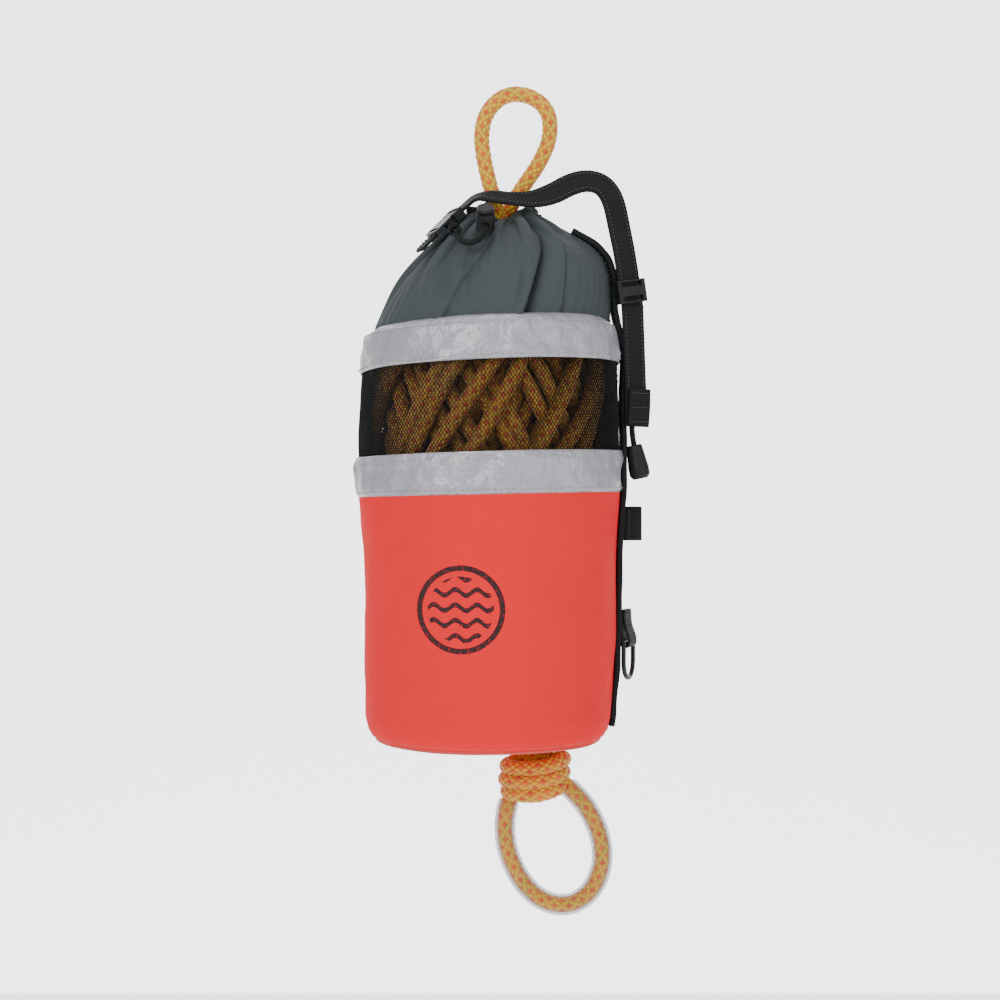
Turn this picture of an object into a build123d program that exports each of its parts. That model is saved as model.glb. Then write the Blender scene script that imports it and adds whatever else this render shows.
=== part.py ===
from build123d import *
from math import cos, pi, radians, sin, tan
import os

# A throw rope bag, hung from the loop in its rope's free end. Millimetres, +Z up, front towards -Y.
# The origin is the top of the hang loop's inside, where a hook or a hand carries it.

# ---------------------------------------------------------------- driving dimensions
BAG_X = -17.5  # the bag's own axis stands to the left of the hook, because the mouth is drawn askew
FABRIC = 1.2
TAPE = 0.5  # reflective tape
WALL = [(-138.0, 74.6), (-164.0, 79.0), (-190.0, 80.0), (-241.5, 79.6), (-300.0, 77.0), (-365.0, 75.0)]
BASE_Z = -395.0
BASE_R = 62.0
CORNER = [(-378.0, 74.3), (-388.0, 71.0), (-393.5, 65.5)]
UPPER_BAND = (-164.0, -138.0)
LOWER_BAND = (-241.5, -217.0)
UPPER_SEAM = -151.0
LOWER_SEAM = -229.0
# height, centre and radius of the collar's rings, which lean to the right over a full shoulder
COLLAR = [
    (-151.0, BAG_X, 76.7),
    (-138.0, BAG_X, 74.5),
    (-125.0, -13.8, 71.8),
    (-109.0, -8.5, 66.5),
    (-97.0, -4.0, 58.5),
    (-88.0, -3.0, 49.5),
    (-80.0, -6.0, 38.0),
    (-74.0, -9.0, 28.0),
    (-70.5, -10.0, 22.0),
]
MOUTH = Vector(-10.0, 0.0, -66.5)
HEM_R = 18.5
HEM_TUBE_R = 3.0
HEM_BORE_R = 2.25

ROPE_R = 4.75
DRAWCORD_R = 1.9
PULL_CORD_R = 1.75
GUARD_IN_R = 5.1
GUARD_OUT_R = 6.5

FOAM_H = 40.0
FOAM_R = 70.0
FOAM_FLARE_H = 14.0  # over this height the float widens from the base to its full size
PACK_BOTTOM = -320.0
KNOT = Vector(10.5, 0.0, -415.0)
KNOT_R = 23.0
KNOT_HALF_H = 13.0
INNER_KNOT_R = 17.0
INNER_KNOT_HALF_H = 12.0
GROMMET_R = 6.2  # clear hole
GROMMET_FLANGE_R = 11.0
GROMMET_T = 1.0

STRAP_W = 15.0
STRAP_T = 1.8
SIDE_WEB_W = 20.0
SIDE_WEB_T = 3.0
SLIDER = Vector(68.97, -10.0, -117.0)

BUCKLE_TILT = 25.0  # the buckle lies on the left shoulder, this far round towards the front
BUCKLE_W = 17.0
BUCKLE_T = 6.0
BUCKLE_MATED = Vector(-41.8, -17.4, -75.0)  # middle of the mouth of its housing

LOCK = Vector(-19.5, -47.7, -80.6)
LOCK_AXIS = Vector(0.0, -0.59, 0.81)
LOCK_R = 5.6

LOOP_SIDE = Vector(0.35, 0.937, 0.0)  # the way the ring's bar lies
RING_BAR = Vector(68.9, 4.0, -333.5)
RING_R = 1.4


# ---------------------------------------------------------------- shared shapes
def finish(part, name):
    """Labels a sub-part and writes its STEP file."""
    part.part.label = name
    export_step(part.part, f"parts/{name}.step")
    print(f"{name:24s} {part.part.volume:12.1f} mm3")


def wall_radius(z):
    """Radius of the bag's outer wall at a height, straight between the given heights."""
    for (z_top, r_top), (z_low, r_low) in zip(WALL, WALL[1:]):
        if z >= z_low:
            return r_top + (r_low - r_top) * (z_top - z) / (z_top - z_low)
    return WALL[-1][1]


def wall_line(z_low, z_high, offset):
    """Points up the bag's wall from z_low to z_high, moved outwards by offset."""
    between = sorted(z for z, r in WALL if z_low < z < z_high)
    return [(BAG_X + wall_radius(z) + offset, z) for z in (z_low, *between, z_high)]


def wall_ring(z_low, z_high, inside, outside):
    """A sleeve that follows the bag's wall between two heights and two offsets."""
    with BuildPart() as sleeve:
        with BuildSketch(Plane.XZ):
            with BuildLine():
                inner_side = reversed(wall_line(z_low, z_high, inside))
                Polyline(*wall_line(z_low, z_high, outside), *inner_side, close=True)
            make_face()
        revolve(axis=Axis((BAG_X, 0, 0), (0, 0, 1)))
    return sleeve


def bend_radii(points):
    """Arc radius at each inner point: 0.45 of the shorter run over the tangent of half the turn."""
    radii = []
    for before, here, after in zip(points, points[1:], points[2:]):
        run_in = Vector(*here) - Vector(*before)
        run_out = Vector(*after) - Vector(*here)
        half_turn = radians(run_in.get_angle(run_out)) / 2
        radii.append(0.45 * min(run_in.length, run_out.length) / tan(half_turn))
    return radii


def cord(name, points, radius, bore=0.0, radii=None):
    """A cord or hose of round section along a route, as straight runs joined by arcs."""
    radii = radii or bend_radii(points)
    with BuildPart() as tube:
        with BuildLine() as route:
            FilletPolyline(*points, radius=radii)
        path = route.wire()
        with BuildSketch(Plane(origin=path @ 0, z_dir=path % 0)):
            Circle(radius)
            if bore:
                Circle(bore, mode=Mode.SUBTRACT)
        sweep(path=path)
    length = path.length
    section = pi * (radius**2 - bore**2)
    print(f"{name}: length {length:.1f}, radii {[round(r, 1) for r in radii]}")
    print(f"{name}: volume over section x length {tube.part.volume / (section * length):.4f}")
    return tube


def ribbon(stations, width, thickness):
    """A strap through stations of (middle point, direction of its width)."""
    middles = [Vector(*point) for point, across in stations]
    with BuildPart() as strap:
        for i, (point, across) in enumerate(stations):
            before = middles[max(i - 1, 0)]
            after = middles[min(i + 1, len(middles) - 1)]
            along = (after - before).normalized()
            side = Vector(*across)
            side = (side - along * side.dot(along)).normalized()
            with BuildSketch(Plane(origin=middles[i], x_dir=side, z_dir=along)):
                Rectangle(width, thickness)
        loft(ruled=True)
    return strap


def ellipsoid(centre, radius, half_height):
    """A knot's outer form: a flattened ball standing on its short axis."""
    steps = [radians(angle) for angle in range(-90, 91, 18)]
    with BuildPart() as ball:
        with BuildSketch(Plane(origin=centre, x_dir=(1, 0, 0), z_dir=(0, -1, 0))):
            with BuildLine():
                Polyline(*[(radius * cos(a), half_height * sin(a)) for a in steps], close=True)
            make_face()
        revolve(axis=Axis(centre, (0, 0, 1)))
    return ball


os.makedirs("parts", exist_ok=True)

# ---------------------------------------------------------------- the bag's shell
with BuildPart() as base_panel:
    with BuildSketch(Plane.XY.offset(BASE_Z)):
        with Locations((BAG_X, 0)):
            Circle(BASE_R)
        with Locations((KNOT.X, 0)):
            Circle(GROMMET_R + 1.0, mode=Mode.SUBTRACT)
    extrude(amount=FABRIC)
finish(base_panel, "base_panel")

with BuildPart() as body_panel:
    with BuildSketch(Plane.XZ):
        with BuildLine():
            inner = list(reversed(wall_line(WALL[-1][0], LOWER_SEAM, -FABRIC)))
            outer = wall_line(WALL[-1][0], LOWER_SEAM, 0)
            inner_corner = [(BAG_X + r - FABRIC, z + 0.4 * FABRIC) for z, r in CORNER]
            outer_corner = [(BAG_X + r, z) for z, r in reversed(CORNER)]
            lip = [(BAG_X + BASE_R + 0.1, BASE_Z + FABRIC), (BAG_X + BASE_R + 0.1, BASE_Z)]
            Polyline(*inner, *inner_corner, *lip, *outer_corner, *outer, close=True)
        make_face()
    revolve(axis=Axis((BAG_X, 0, 0), (0, 0, 1)))
finish(body_panel, "body_panel")

mesh_window = wall_ring(LOWER_SEAM, UPPER_SEAM, -1.0, 0)
finish(mesh_window, "mesh_window")

lower_reflective_band = wall_ring(*LOWER_BAND, 0, TAPE)
finish(lower_reflective_band, "lower_reflective_band")

upper_reflective_band = wall_ring(*UPPER_BAND, 0.1, 0.1 + TAPE)
finish(upper_reflective_band, "upper_reflective_band")

with BuildPart() as collar:
    for z, centre, radius in COLLAR:
        with BuildSketch(Plane.XY.offset(z)):
            with Locations((centre, 0)):
                Circle(radius)
    loft(ruled=True)
    for z, centre, radius in COLLAR:
        with BuildSketch(Plane.XY.offset(z)):
            with Locations((centre, 0)):
                Circle(radius - FABRIC)
    loft(ruled=True, mode=Mode.SUBTRACT)
finish(collar, "collar")

with BuildPart() as hem_casing:
    with BuildSketch(Plane.XZ):
        with Locations((MOUTH.X + HEM_R, MOUTH.Z)):
            Circle(HEM_TUBE_R)
            Circle(HEM_BORE_R, mode=Mode.SUBTRACT)
    revolve(axis=Axis(MOUTH, (0, 0, 1)))
finish(hem_casing, "hem_casing")

with BuildPart() as drawcord_ring:
    with BuildSketch(Plane.XZ):
        with Locations((MOUTH.X + HEM_R, MOUTH.Z)):
            Circle(DRAWCORD_R)
    revolve(axis=Axis(MOUTH, (0, 0, 1)))
finish(drawcord_ring, "drawcord_ring")

# ---------------------------------------------------------------- base hardware and float
with BuildPart() as base_grommet:
    with BuildSketch(Plane.XY.offset(BASE_Z - GROMMET_T)):
        with Locations((KNOT.X, 0)):
            Circle(GROMMET_FLANGE_R)
            Circle(GROMMET_R, mode=Mode.SUBTRACT)
    extrude(amount=GROMMET_T)
    with BuildSketch(Plane.XY.offset(BASE_Z)):
        with Locations((KNOT.X, 0)):
            Circle(GROMMET_R + 0.9)
            Circle(GROMMET_R, mode=Mode.SUBTRACT)
    extrude(amount=FABRIC + GROMMET_T)
finish(base_grommet, "base_grommet")

with BuildPart() as grommet_washer:
    with BuildSketch(Plane.XY.offset(BASE_Z + FABRIC)):
        with Locations((KNOT.X, 0)):
            Circle(GROMMET_FLANGE_R)
            Circle(GROMMET_R + 1.0, mode=Mode.SUBTRACT)
    extrude(amount=GROMMET_T)
finish(grommet_washer, "grommet_washer")

FOAM_Z = BASE_Z + FABRIC + 2.0
with BuildPart() as foam_float:
    with BuildSketch(Plane.XY.offset(FOAM_Z)):
        with Locations((BAG_X, 0)):
            Circle(BASE_R - 2.0)
    with BuildSketch(Plane.XY.offset(FOAM_Z + FOAM_FLARE_H)):
        with Locations((BAG_X, 0)):
            Circle(FOAM_R)
    loft(ruled=True)
    with BuildSketch(Plane.XY.offset(FOAM_Z + FOAM_FLARE_H)):
        with Locations((BAG_X, 0)):
            Circle(FOAM_R)
    extrude(amount=FOAM_H - FOAM_FLARE_H)
    with BuildSketch(Plane.XY.offset(FOAM_Z)):
        with Locations((KNOT.X, 0)):
            Circle(GROMMET_R + 1.0)
    extrude(amount=FOAM_H, mode=Mode.SUBTRACT)
finish(foam_float, "foam_float")

with BuildPart() as float_cover:
    with BuildSketch(Plane.XY.offset(FOAM_Z + FOAM_H + 0.3)):
        with Locations((BAG_X, 0)):
            Circle(FOAM_R + 2.0)
        with Locations((KNOT.X, 0)):
            Circle(GROMMET_R, mode=Mode.SUBTRACT)
    extrude(amount=FABRIC)
finish(float_cover, "float_cover")

# ---------------------------------------------------------------- the rope
COVER_TOP = FOAM_Z + FOAM_H + 0.3 + FABRIC
inner_knot_at = Vector(KNOT.X, 0, COVER_TOP + INNER_KNOT_HALF_H + 0.2)
inner_stopper_knot = ellipsoid(inner_knot_at, INNER_KNOT_R, INNER_KNOT_HALF_H)
finish(inner_stopper_knot, "inner_stopper_knot")

with BuildPart() as base_rope:
    with BuildSketch(Plane.XY.offset(BASE_Z - 4.0)):
        with Locations((KNOT.X, 0)):
            Circle(ROPE_R)
    extrude(amount=COVER_TOP + 0.2 - BASE_Z + 4.0)
finish(base_rope, "base_rope")

# radius and height round the heap of packed rope, which fills the bag up to a dome under the collar
PACK_PROFILE = [
    (0.0, PACK_BOTTOM),
    (70.0, PACK_BOTTOM),
    (75.5, PACK_BOTTOM + 12.0),
    (77.0, -200.0),
    (74.0, UPPER_SEAM - 5.0),
    (66.0, -134.0),
    (45.0, -122.0),
    (0.0, -116.0),
]
with BuildPart() as rope_pack:
    with BuildSketch(Plane.XZ):
        with BuildLine():
            Polyline(*[(BAG_X + radius, z) for radius, z in PACK_PROFILE], close=True)
        make_face()
    revolve(axis=Axis((BAG_X, 0, 0), (0, 0, 1)))
finish(rope_pack, "rope_pack")

HAND_KNOT_X = -11.0
HAND_KNOT_PROFILE = [(0, -83), (7, -85), (11, -92), (11, -104), (5, -112), (0, -113)]  # radius, height
with BuildPart() as hand_loop_knot:
    with BuildSketch(Plane.XZ):
        with BuildLine():
            Polyline(*[(HAND_KNOT_X + r, z) for r, z in HAND_KNOT_PROFILE], close=True)
        make_face()
    revolve(axis=Axis((HAND_KNOT_X, 0, 0), (0, 0, 1)))
finish(hand_loop_knot, "hand_loop_knot")

TOP_LOOP = [
    (-10.0, -5.2, -82.8),
    (-12.0, -5.2, -69.0),
    (-17.0, -4.5, -52.0),
    (-21.0, -2.5, -35.0),
    (-23.0, -1.0, -18.0),
    (-19.0, 0.0, -3.0),
    (-7.0, 0.0, 7.0),
    (8.0, 0.0, 6.0),
    (19.5, 0.5, -3.5),
    (20.5, 1.5, -20.0),
    (14.0, 3.0, -35.0),
    (4.0, 4.5, -49.0),
    (-6.0, 5.2, -64.0),
    (-9.5, 5.2, -82.8),
]
top_rope_loop = cord("top_rope_loop", TOP_LOOP, ROPE_R)
finish(top_rope_loop, "top_rope_loop")

outer_knot = ellipsoid(KNOT, KNOT_R, KNOT_HALF_H)
finish(outer_knot, "outer_knot")

BOTTOM_LOOP = [
    (-5.5, 0.0, -430.5),
    (-8.5, 0.0, -445.0),
    (-7.0, 0.0, -462.0),
    (1.5, 0.0, -481.0),
    (15.0, 0.0, -494.0),
    (32.0, 0.0, -497.0),
    (46.0, 0.0, -488.0),
    (53.0, 0.0, -471.0),
    (51.5, 0.0, -453.0),
    (44.0, 0.0, -437.0),
    (36.5, 0.0, -427.5),
]
bottom_rope_loop = cord("bottom_rope_loop", BOTTOM_LOOP, ROPE_R)
finish(bottom_rope_loop, "bottom_rope_loop")

# the hose starts and ends part of the way along the rope's first and last runs
guard_start = tuple(Vector(*BOTTOM_LOOP[0]) * 0.7 + Vector(*BOTTOM_LOOP[1]) * 0.3)
guard_end = tuple(Vector(*BOTTOM_LOOP[-1]) * 0.8 + Vector(*BOTTOM_LOOP[-2]) * 0.2)
guard_points = [guard_start, *BOTTOM_LOOP[1:-1], guard_end]
loop_guard_tube = cord(
    "loop_guard_tube", guard_points, GUARD_OUT_R, bore=GUARD_IN_R, radii=bend_radii(BOTTOM_LOOP)
)
finish(loop_guard_tube, "loop_guard_tube")

# ---------------------------------------------------------------- webbing down the right side
WEB_LIFT = 2.0  # from the cloth to the middle of the webbing
up_the_wall = [(BAG_X + wall_radius(z) + TAPE + WEB_LIFT, z) for z in (-370, -300, -241, -190, -160)]
over_shoulder = [(centre + radius + WEB_LIFT, z + 1.2) for z, centre, radius in COLLAR[1:-1]]
side_stations = [((x, 0, z), (0, 1, 0)) for x, z in up_the_wall + over_shoulder]
side_webbing = ribbon(side_stations, SIDE_WEB_W, SIDE_WEB_T)
finish(side_webbing, "side_webbing")

WEB_FACE = BAG_X + wall_radius(-260.0) + TAPE + WEB_LIFT + SIDE_WEB_T / 2
UPPER_LOOP_Z = (-270.0, -249.0)
LOOP_OUTSIDE = (12.0, 9.0)  # how far it stands out, and its breadth
LOOP_WEB_T = 1.5
with BuildPart() as upper_gear_loop:
    with BuildSketch(Plane.XY.offset(UPPER_LOOP_Z[0])):
        with Locations((WEB_FACE + 0.6 + LOOP_OUTSIDE[0] / 2, 0)):
            Rectangle(*LOOP_OUTSIDE)
            Rectangle(*(side - 2 * LOOP_WEB_T for side in LOOP_OUTSIDE), mode=Mode.SUBTRACT)
    extrude(amount=UPPER_LOOP_Z[1] - UPPER_LOOP_Z[0])
    fillet(upper_gear_loop.edges().filter_by(Axis.Z).group_by(Axis.X)[-1], radius=3.0)
finish(upper_gear_loop, "upper_gear_loop")

ring_out = Vector(LOOP_SIDE.Y, -LOOP_SIDE.X, 0)
bar_plane = Plane(origin=RING_BAR, x_dir=ring_out, z_dir=LOOP_SIDE)
LOOP_TAB_H = 21.0
LOOP_TAB_W = 16.0
LOOP_TAB_R = 3.3
with BuildPart() as lower_gear_loop:
    with BuildSketch(bar_plane.offset(-LOOP_TAB_W / 2)):
        Circle(LOOP_TAB_R)
        with Locations((0, LOOP_TAB_H / 2 if bar_plane.y_dir.Z > 0 else -LOOP_TAB_H / 2)):
            Rectangle(2 * LOOP_TAB_R, LOOP_TAB_H)
        Circle(RING_R + 0.4, mode=Mode.SUBTRACT)
    extrude(amount=LOOP_TAB_W)
finish(lower_gear_loop, "lower_gear_loop")

ring_plane = Plane(origin=RING_BAR, x_dir=LOOP_SIDE, z_dir=ring_out)
down = -1 if ring_plane.y_dir.Z > 0 else 1
RING_HALF_W = 10.5
RING_DROP = 22.0
RING_SIDE = RING_DROP - RING_HALF_W
with BuildPart() as d_ring:
    with BuildSketch(ring_plane.offset(-RING_R)):
        for edge, mode in ((RING_R, Mode.ADD), (-RING_R, Mode.SUBTRACT)):
            half = RING_HALF_W + edge
            left = (-half, down * RING_SIDE)
            right = (half, down * RING_SIDE)
            with BuildLine():
                Polyline(left, (-half, -down * edge), (half, -down * edge), right)
                ThreePointArc(right, (0, down * (RING_SIDE + half)), left)
            make_face(mode=mode)
    extrude(amount=2 * RING_R)
    fillet(d_ring.edges().filter_by(ring_plane), radius=0.45 * 2 * RING_R)
finish(d_ring, "d_ring")

# ---------------------------------------------------------------- closing strap, buckle and slider
tilt = radians(BUCKLE_TILT)
up_slope = Vector(cos(tilt), sin(tilt), 1.0).normalized()
outward = Vector(-cos(tilt), -sin(tilt), 1.0).normalized()
buckle = Plane(origin=BUCKLE_MATED, x_dir=up_slope, z_dir=outward)
across_buckle = buckle.y_dir

HOUSING_L = 15.0
PLATE_T = 1.4
BUCKLE_CORNER_R = 2.0
SOCKET_L = 9.0
WEB_SLOT = 2.6
with BuildPart() as buckle_housing:
    with BuildSketch(buckle.offset(-BUCKLE_T / 2)):
        with Locations((-HOUSING_L / 2, 0)):
            RectangleRounded(HOUSING_L, BUCKLE_W, BUCKLE_CORNER_R)
    extrude(amount=BUCKLE_T)
    with BuildSketch(buckle.offset(-BUCKLE_T / 2 + PLATE_T)):
        with Locations((0.5 - SOCKET_L / 2, 0)):
            Rectangle(SOCKET_L, BUCKLE_W + 2.0)
    extrude(amount=BUCKLE_T - 2 * PLATE_T, mode=Mode.SUBTRACT)
    with BuildSketch(buckle.offset(-BUCKLE_T)):
        with Locations((-HOUSING_L + 2.9, 0)):
            Rectangle(WEB_SLOT, BUCKLE_W - 3.6)
    extrude(amount=2 * BUCKLE_T, mode=Mode.SUBTRACT)
finish(buckle_housing, "buckle_housing")

LATCH_T = BUCKLE_T - 2 * PLATE_T - 0.6
LATCH_L = 7.2
with BuildPart() as buckle_latch:
    with BuildSketch(buckle.offset(-BUCKLE_T / 2)):
        with Locations((4.4, 0)):
            RectangleRounded(8.0, BUCKLE_W, BUCKLE_CORNER_R)
    extrude(amount=BUCKLE_T)
    with BuildSketch(buckle.offset(-BUCKLE_T)):
        with Locations((5.6, 0)):
            Rectangle(WEB_SLOT, BUCKLE_W - 1.6)
    extrude(amount=2 * BUCKLE_T, mode=Mode.SUBTRACT)
    with BuildSketch(buckle.offset(-LATCH_T / 2)):
        with Locations((0.8 - LATCH_L / 2, 0)):
            Rectangle(LATCH_L, 3.0)
    extrude(amount=LATCH_T)
finish(buckle_latch, "buckle_latch")

PRONG_Y = 6.4
PRONG_W = 1.4
PRONG_BARB = 1.9
prongs = {"buckle_prong_front": -1, "buckle_prong_back": 1}
for name, side in prongs.items():
    with BuildPart() as prong:
        with BuildSketch(buckle.offset(-LATCH_T / 2)):
            with BuildLine():
                Polyline(
                    (0.2, side * (PRONG_Y - PRONG_W)),
                    (-6.4, side * (PRONG_Y - PRONG_W)),
                    (-7.2, side * (PRONG_Y - 0.6)),
                    (-5.0, side * (PRONG_Y + PRONG_BARB)),
                    (-2.6, side * (PRONG_Y + PRONG_BARB)),
                    (-2.2, side * PRONG_Y),
                    (0.2, side * PRONG_Y),
                    close=True,
                )
            make_face()
        extrude(amount=LATCH_T)
    finish(prong, name)

ANCHOR_T = 1.6
ANCHOR_RUN = [(0.0, 0.0), (4.0, 0.3), (8.0, 0.8), (12.0, 0.9)]  # down the slope, and in to the cloth
anchor_top = BUCKLE_MATED - up_slope * (HOUSING_L + 0.3)
anchor_points = [anchor_top - up_slope * along - outward * dip for along, dip in ANCHOR_RUN]
anchor_stations = [(tuple(point), tuple(across_buckle)) for point in anchor_points]
buckle_anchor = ribbon(anchor_stations, BUCKLE_W - 5.0, ANCHOR_T)
finish(buckle_anchor, "buckle_anchor")

strap_start = BUCKLE_MATED + up_slope * 8.8
STRAP = [
    (tuple(strap_start), tuple(across_buckle)),
    (tuple(strap_start + up_slope * 3.5 + outward * 0.6), tuple(across_buckle)),
    ((-25.0, -18.5, -60.0), (-0.25, 0.93, 0.25)),
    ((-16.0, -22.0, -60.6), (0, 0.8, 0.6)),
    ((-4.0, -23.2, -63.8), (0, 0.8, 0.6)),
    ((9.0, -20.5, -64.0), (-0.1, 0.75, 0.65)),
    ((21.0, -16.0, -58.5), (-0.35, 0.45, 0.8)),
    ((32.5, -13.0, -51.5), (-0.35, 0.35, 0.9)),
    ((43.0, -12.0, -49.0), (0, 0.35, 0.93)),
    ((52.5, -12.0, -52.0), (0.55, 0.35, 0.75)),
    ((58.5, -12.0, -61.0), (0.88, 0.35, 0.35)),
    ((62.0, -12.0, -78.0), (0.92, 0.38, 0.15)),
    ((66.0, -11.5, -97.0), (0.9, 0.42, 0.15)),
    ((70.6, -9.2, -128.0), (0.9, 0.42, 0.15)),
]
closing_strap = ribbon(STRAP, STRAP_W, STRAP_T)
finish(closing_strap, "closing_strap")

STRAP_TAIL = [
    ((70.8, -9.4, -129.5), (0.9, 0.43, 0.0)),
    ((71.2, -9.2, -150.0), (0.9, 0.43, 0.0)),
    ((72.0, -9.0, -172.0), (0.9, 0.43, 0.0)),
    ((72.6, -9.0, -186.0), (0.9, 0.43, 0.0)),
    ((72.2, -9.0, -200.0), (0.9, 0.43, 0.0)),
]
strap_tail = ribbon(STRAP_TAIL, STRAP_W, STRAP_T)
finish(strap_tail, "strap_tail")

END_FOLD = [
    ((74.6, -10.2, -177.0), (0.9, 0.43, 0.0)),
    ((74.9, -10.2, -188.0), (0.9, 0.43, 0.0)),
    ((73.6, -10.6, -199.5), (0.9, 0.43, 0.0)),
]
strap_end_fold = ribbon(END_FOLD, STRAP_W - 1.0, 1.6)
finish(strap_end_fold, "strap_end_fold")

# the slider stands square to the strap, with one bar outside it and two inside
slider_along = (Vector(*STRAP[-1][0]) - Vector(*STRAP[-2][0])).normalized()
slider_plane = Plane(origin=SLIDER, x_dir=Vector(0.9, 0.42, 0.15), z_dir=slider_along)
slider_face = slider_plane.y_dir
SLIDER_L = 14.0
SLIDER_GAP = STRAP_T + 0.8
SLIDER_BAR = 1.6
SLIDER_INSIDE_W = STRAP_W + 1.0
SLIDER_WINDOW_W = STRAP_W - 1.0
with BuildPart() as strap_slider:
    with BuildSketch(slider_plane.offset(-SLIDER_L / 2)):
        Rectangle(SLIDER_INSIDE_W + 2 * SLIDER_BAR, SLIDER_GAP + 2 * SLIDER_BAR)
        Rectangle(SLIDER_INSIDE_W, SLIDER_GAP, mode=Mode.SUBTRACT)
    extrude(amount=SLIDER_L)
    with BuildSketch(Plane(origin=SLIDER, x_dir=slider_plane.x_dir, z_dir=slider_face)):
        with Locations((0, 4.4), (0, -4.4)):
            Rectangle(SLIDER_WINDOW_W, 3.0)
    extrude(amount=6.0, mode=Mode.SUBTRACT)
    with BuildSketch(Plane(origin=SLIDER, x_dir=slider_plane.x_dir, z_dir=slider_face)):
        Rectangle(SLIDER_WINDOW_W, 6.0)
    extrude(amount=-6.0, mode=Mode.SUBTRACT)
finish(strap_slider, "strap_slider")

# ---------------------------------------------------------------- pull at the strap's end
PULL_CORD = [
    (70.2, -6.3, -187.0),
    (70.0, -6.3, -198.0),
    (70.8, -6.2, -208.0),
    (72.8, -5.8, -217.5),
]
pull_cord = cord("pull_cord", PULL_CORD, PULL_CORD_R)
finish(pull_cord, "pull_cord")

CORD_END_PROFILE = [(-6.5, 4.3), (-5.8, 4.9), (8.0, 6.4), (12.5, 6.2), (14.5, 4.6)]  # along, radius
pull_top = Vector(*PULL_CORD[-1])
pull_along = (Vector(*PULL_CORD[-1]) - Vector(*PULL_CORD[-2])).normalized()
with BuildPart() as cord_end:
    for offset, radius in CORD_END_PROFILE:
        with BuildSketch(Plane(origin=pull_top + pull_along * offset, z_dir=pull_along)):
            Circle(radius)
    loft(ruled=True)
    with BuildSketch(Plane(origin=pull_top + pull_along * -7.0, z_dir=pull_along)):
        Circle(PULL_CORD_R + 0.05)
    extrude(amount=7.0 + 0.3, mode=Mode.SUBTRACT)
finish(cord_end, "cord_end")

# ---------------------------------------------------------------- drawcord and its lock
run_down = Vector(0, -0.81, -0.59)
lock_plane = Plane(origin=LOCK, x_dir=run_down, z_dir=LOCK_AXIS)
straight_start = LOCK - run_down * 17.0
straight_end = LOCK + run_down * 13.0
DRAWCORD = [
    (-19.3, -21.4, -66.0),
    tuple(straight_start + Vector(0, 2.0, 1.0)),
    tuple(straight_end),
    tuple(straight_end + Vector(-5.5, -1.5, -6.5)),
    tuple(straight_end + Vector(-14.0, 1.5, -6.0)),
    tuple(straight_end + Vector(-17.5, 7.0, -0.5)),
]
drawcord = cord("drawcord", DRAWCORD, DRAWCORD_R)
finish(drawcord, "drawcord")

knot_at = Vector(*DRAWCORD[-1]) + Vector(-0.6, 3.6, 3.4)
drawcord_knot = ellipsoid(knot_at, 4.6, 4.0)
finish(drawcord_knot, "drawcord_knot")

PLUNGER_R = 3.4
PRESS = 1.6
CORD_HOLE_R = DRAWCORD_R + 0.3
PLUNGER_FOOT = -CORD_HOLE_R - 0.4
POCKET_FOOT = PLUNGER_FOOT - PRESS - 0.1
LOCK_FOOT = POCKET_FOOT - 0.6
LOCK_H = 6.0 - LOCK_FOOT
with BuildPart() as cord_lock_body:
    with BuildSketch(lock_plane.offset(LOCK_FOOT)):
        Circle(LOCK_R)
    extrude(amount=LOCK_H)
    with BuildSketch(lock_plane.offset(POCKET_FOOT)):
        Circle(PLUNGER_R + 0.1)
    extrude(amount=LOCK_H, mode=Mode.SUBTRACT)
    with BuildSketch(Plane(origin=LOCK - run_down * 9.0, z_dir=run_down)):
        Circle(CORD_HOLE_R)
    extrude(amount=18.0, mode=Mode.SUBTRACT)
finish(cord_lock_body, "cord_lock_body")

cross_plane = Plane(origin=LOCK - run_down * 9.0, x_dir=LOCK_AXIS, z_dir=run_down)
with BuildPart() as cord_lock_plunger:
    cap_foot = LOCK_FOOT + LOCK_H + PRESS + 0.2
    with BuildSketch(lock_plane.offset(PLUNGER_FOOT)):
        Circle(PLUNGER_R)
    extrude(amount=cap_foot + 0.4 - PLUNGER_FOOT)
    with BuildSketch(lock_plane.offset(cap_foot)):
        Circle(LOCK_R - 0.6)
    extrude(amount=1.6)
    with BuildSketch(cross_plane):
        with Locations((PRESS / 2, 0)):
            SlotCenterToCenter(PRESS, 2 * CORD_HOLE_R)
    extrude(amount=18.0, mode=Mode.SUBTRACT)
finish(cord_lock_plunger, "cord_lock_plunger")
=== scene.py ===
from math import cos, pi, radians, sin, tau

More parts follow.
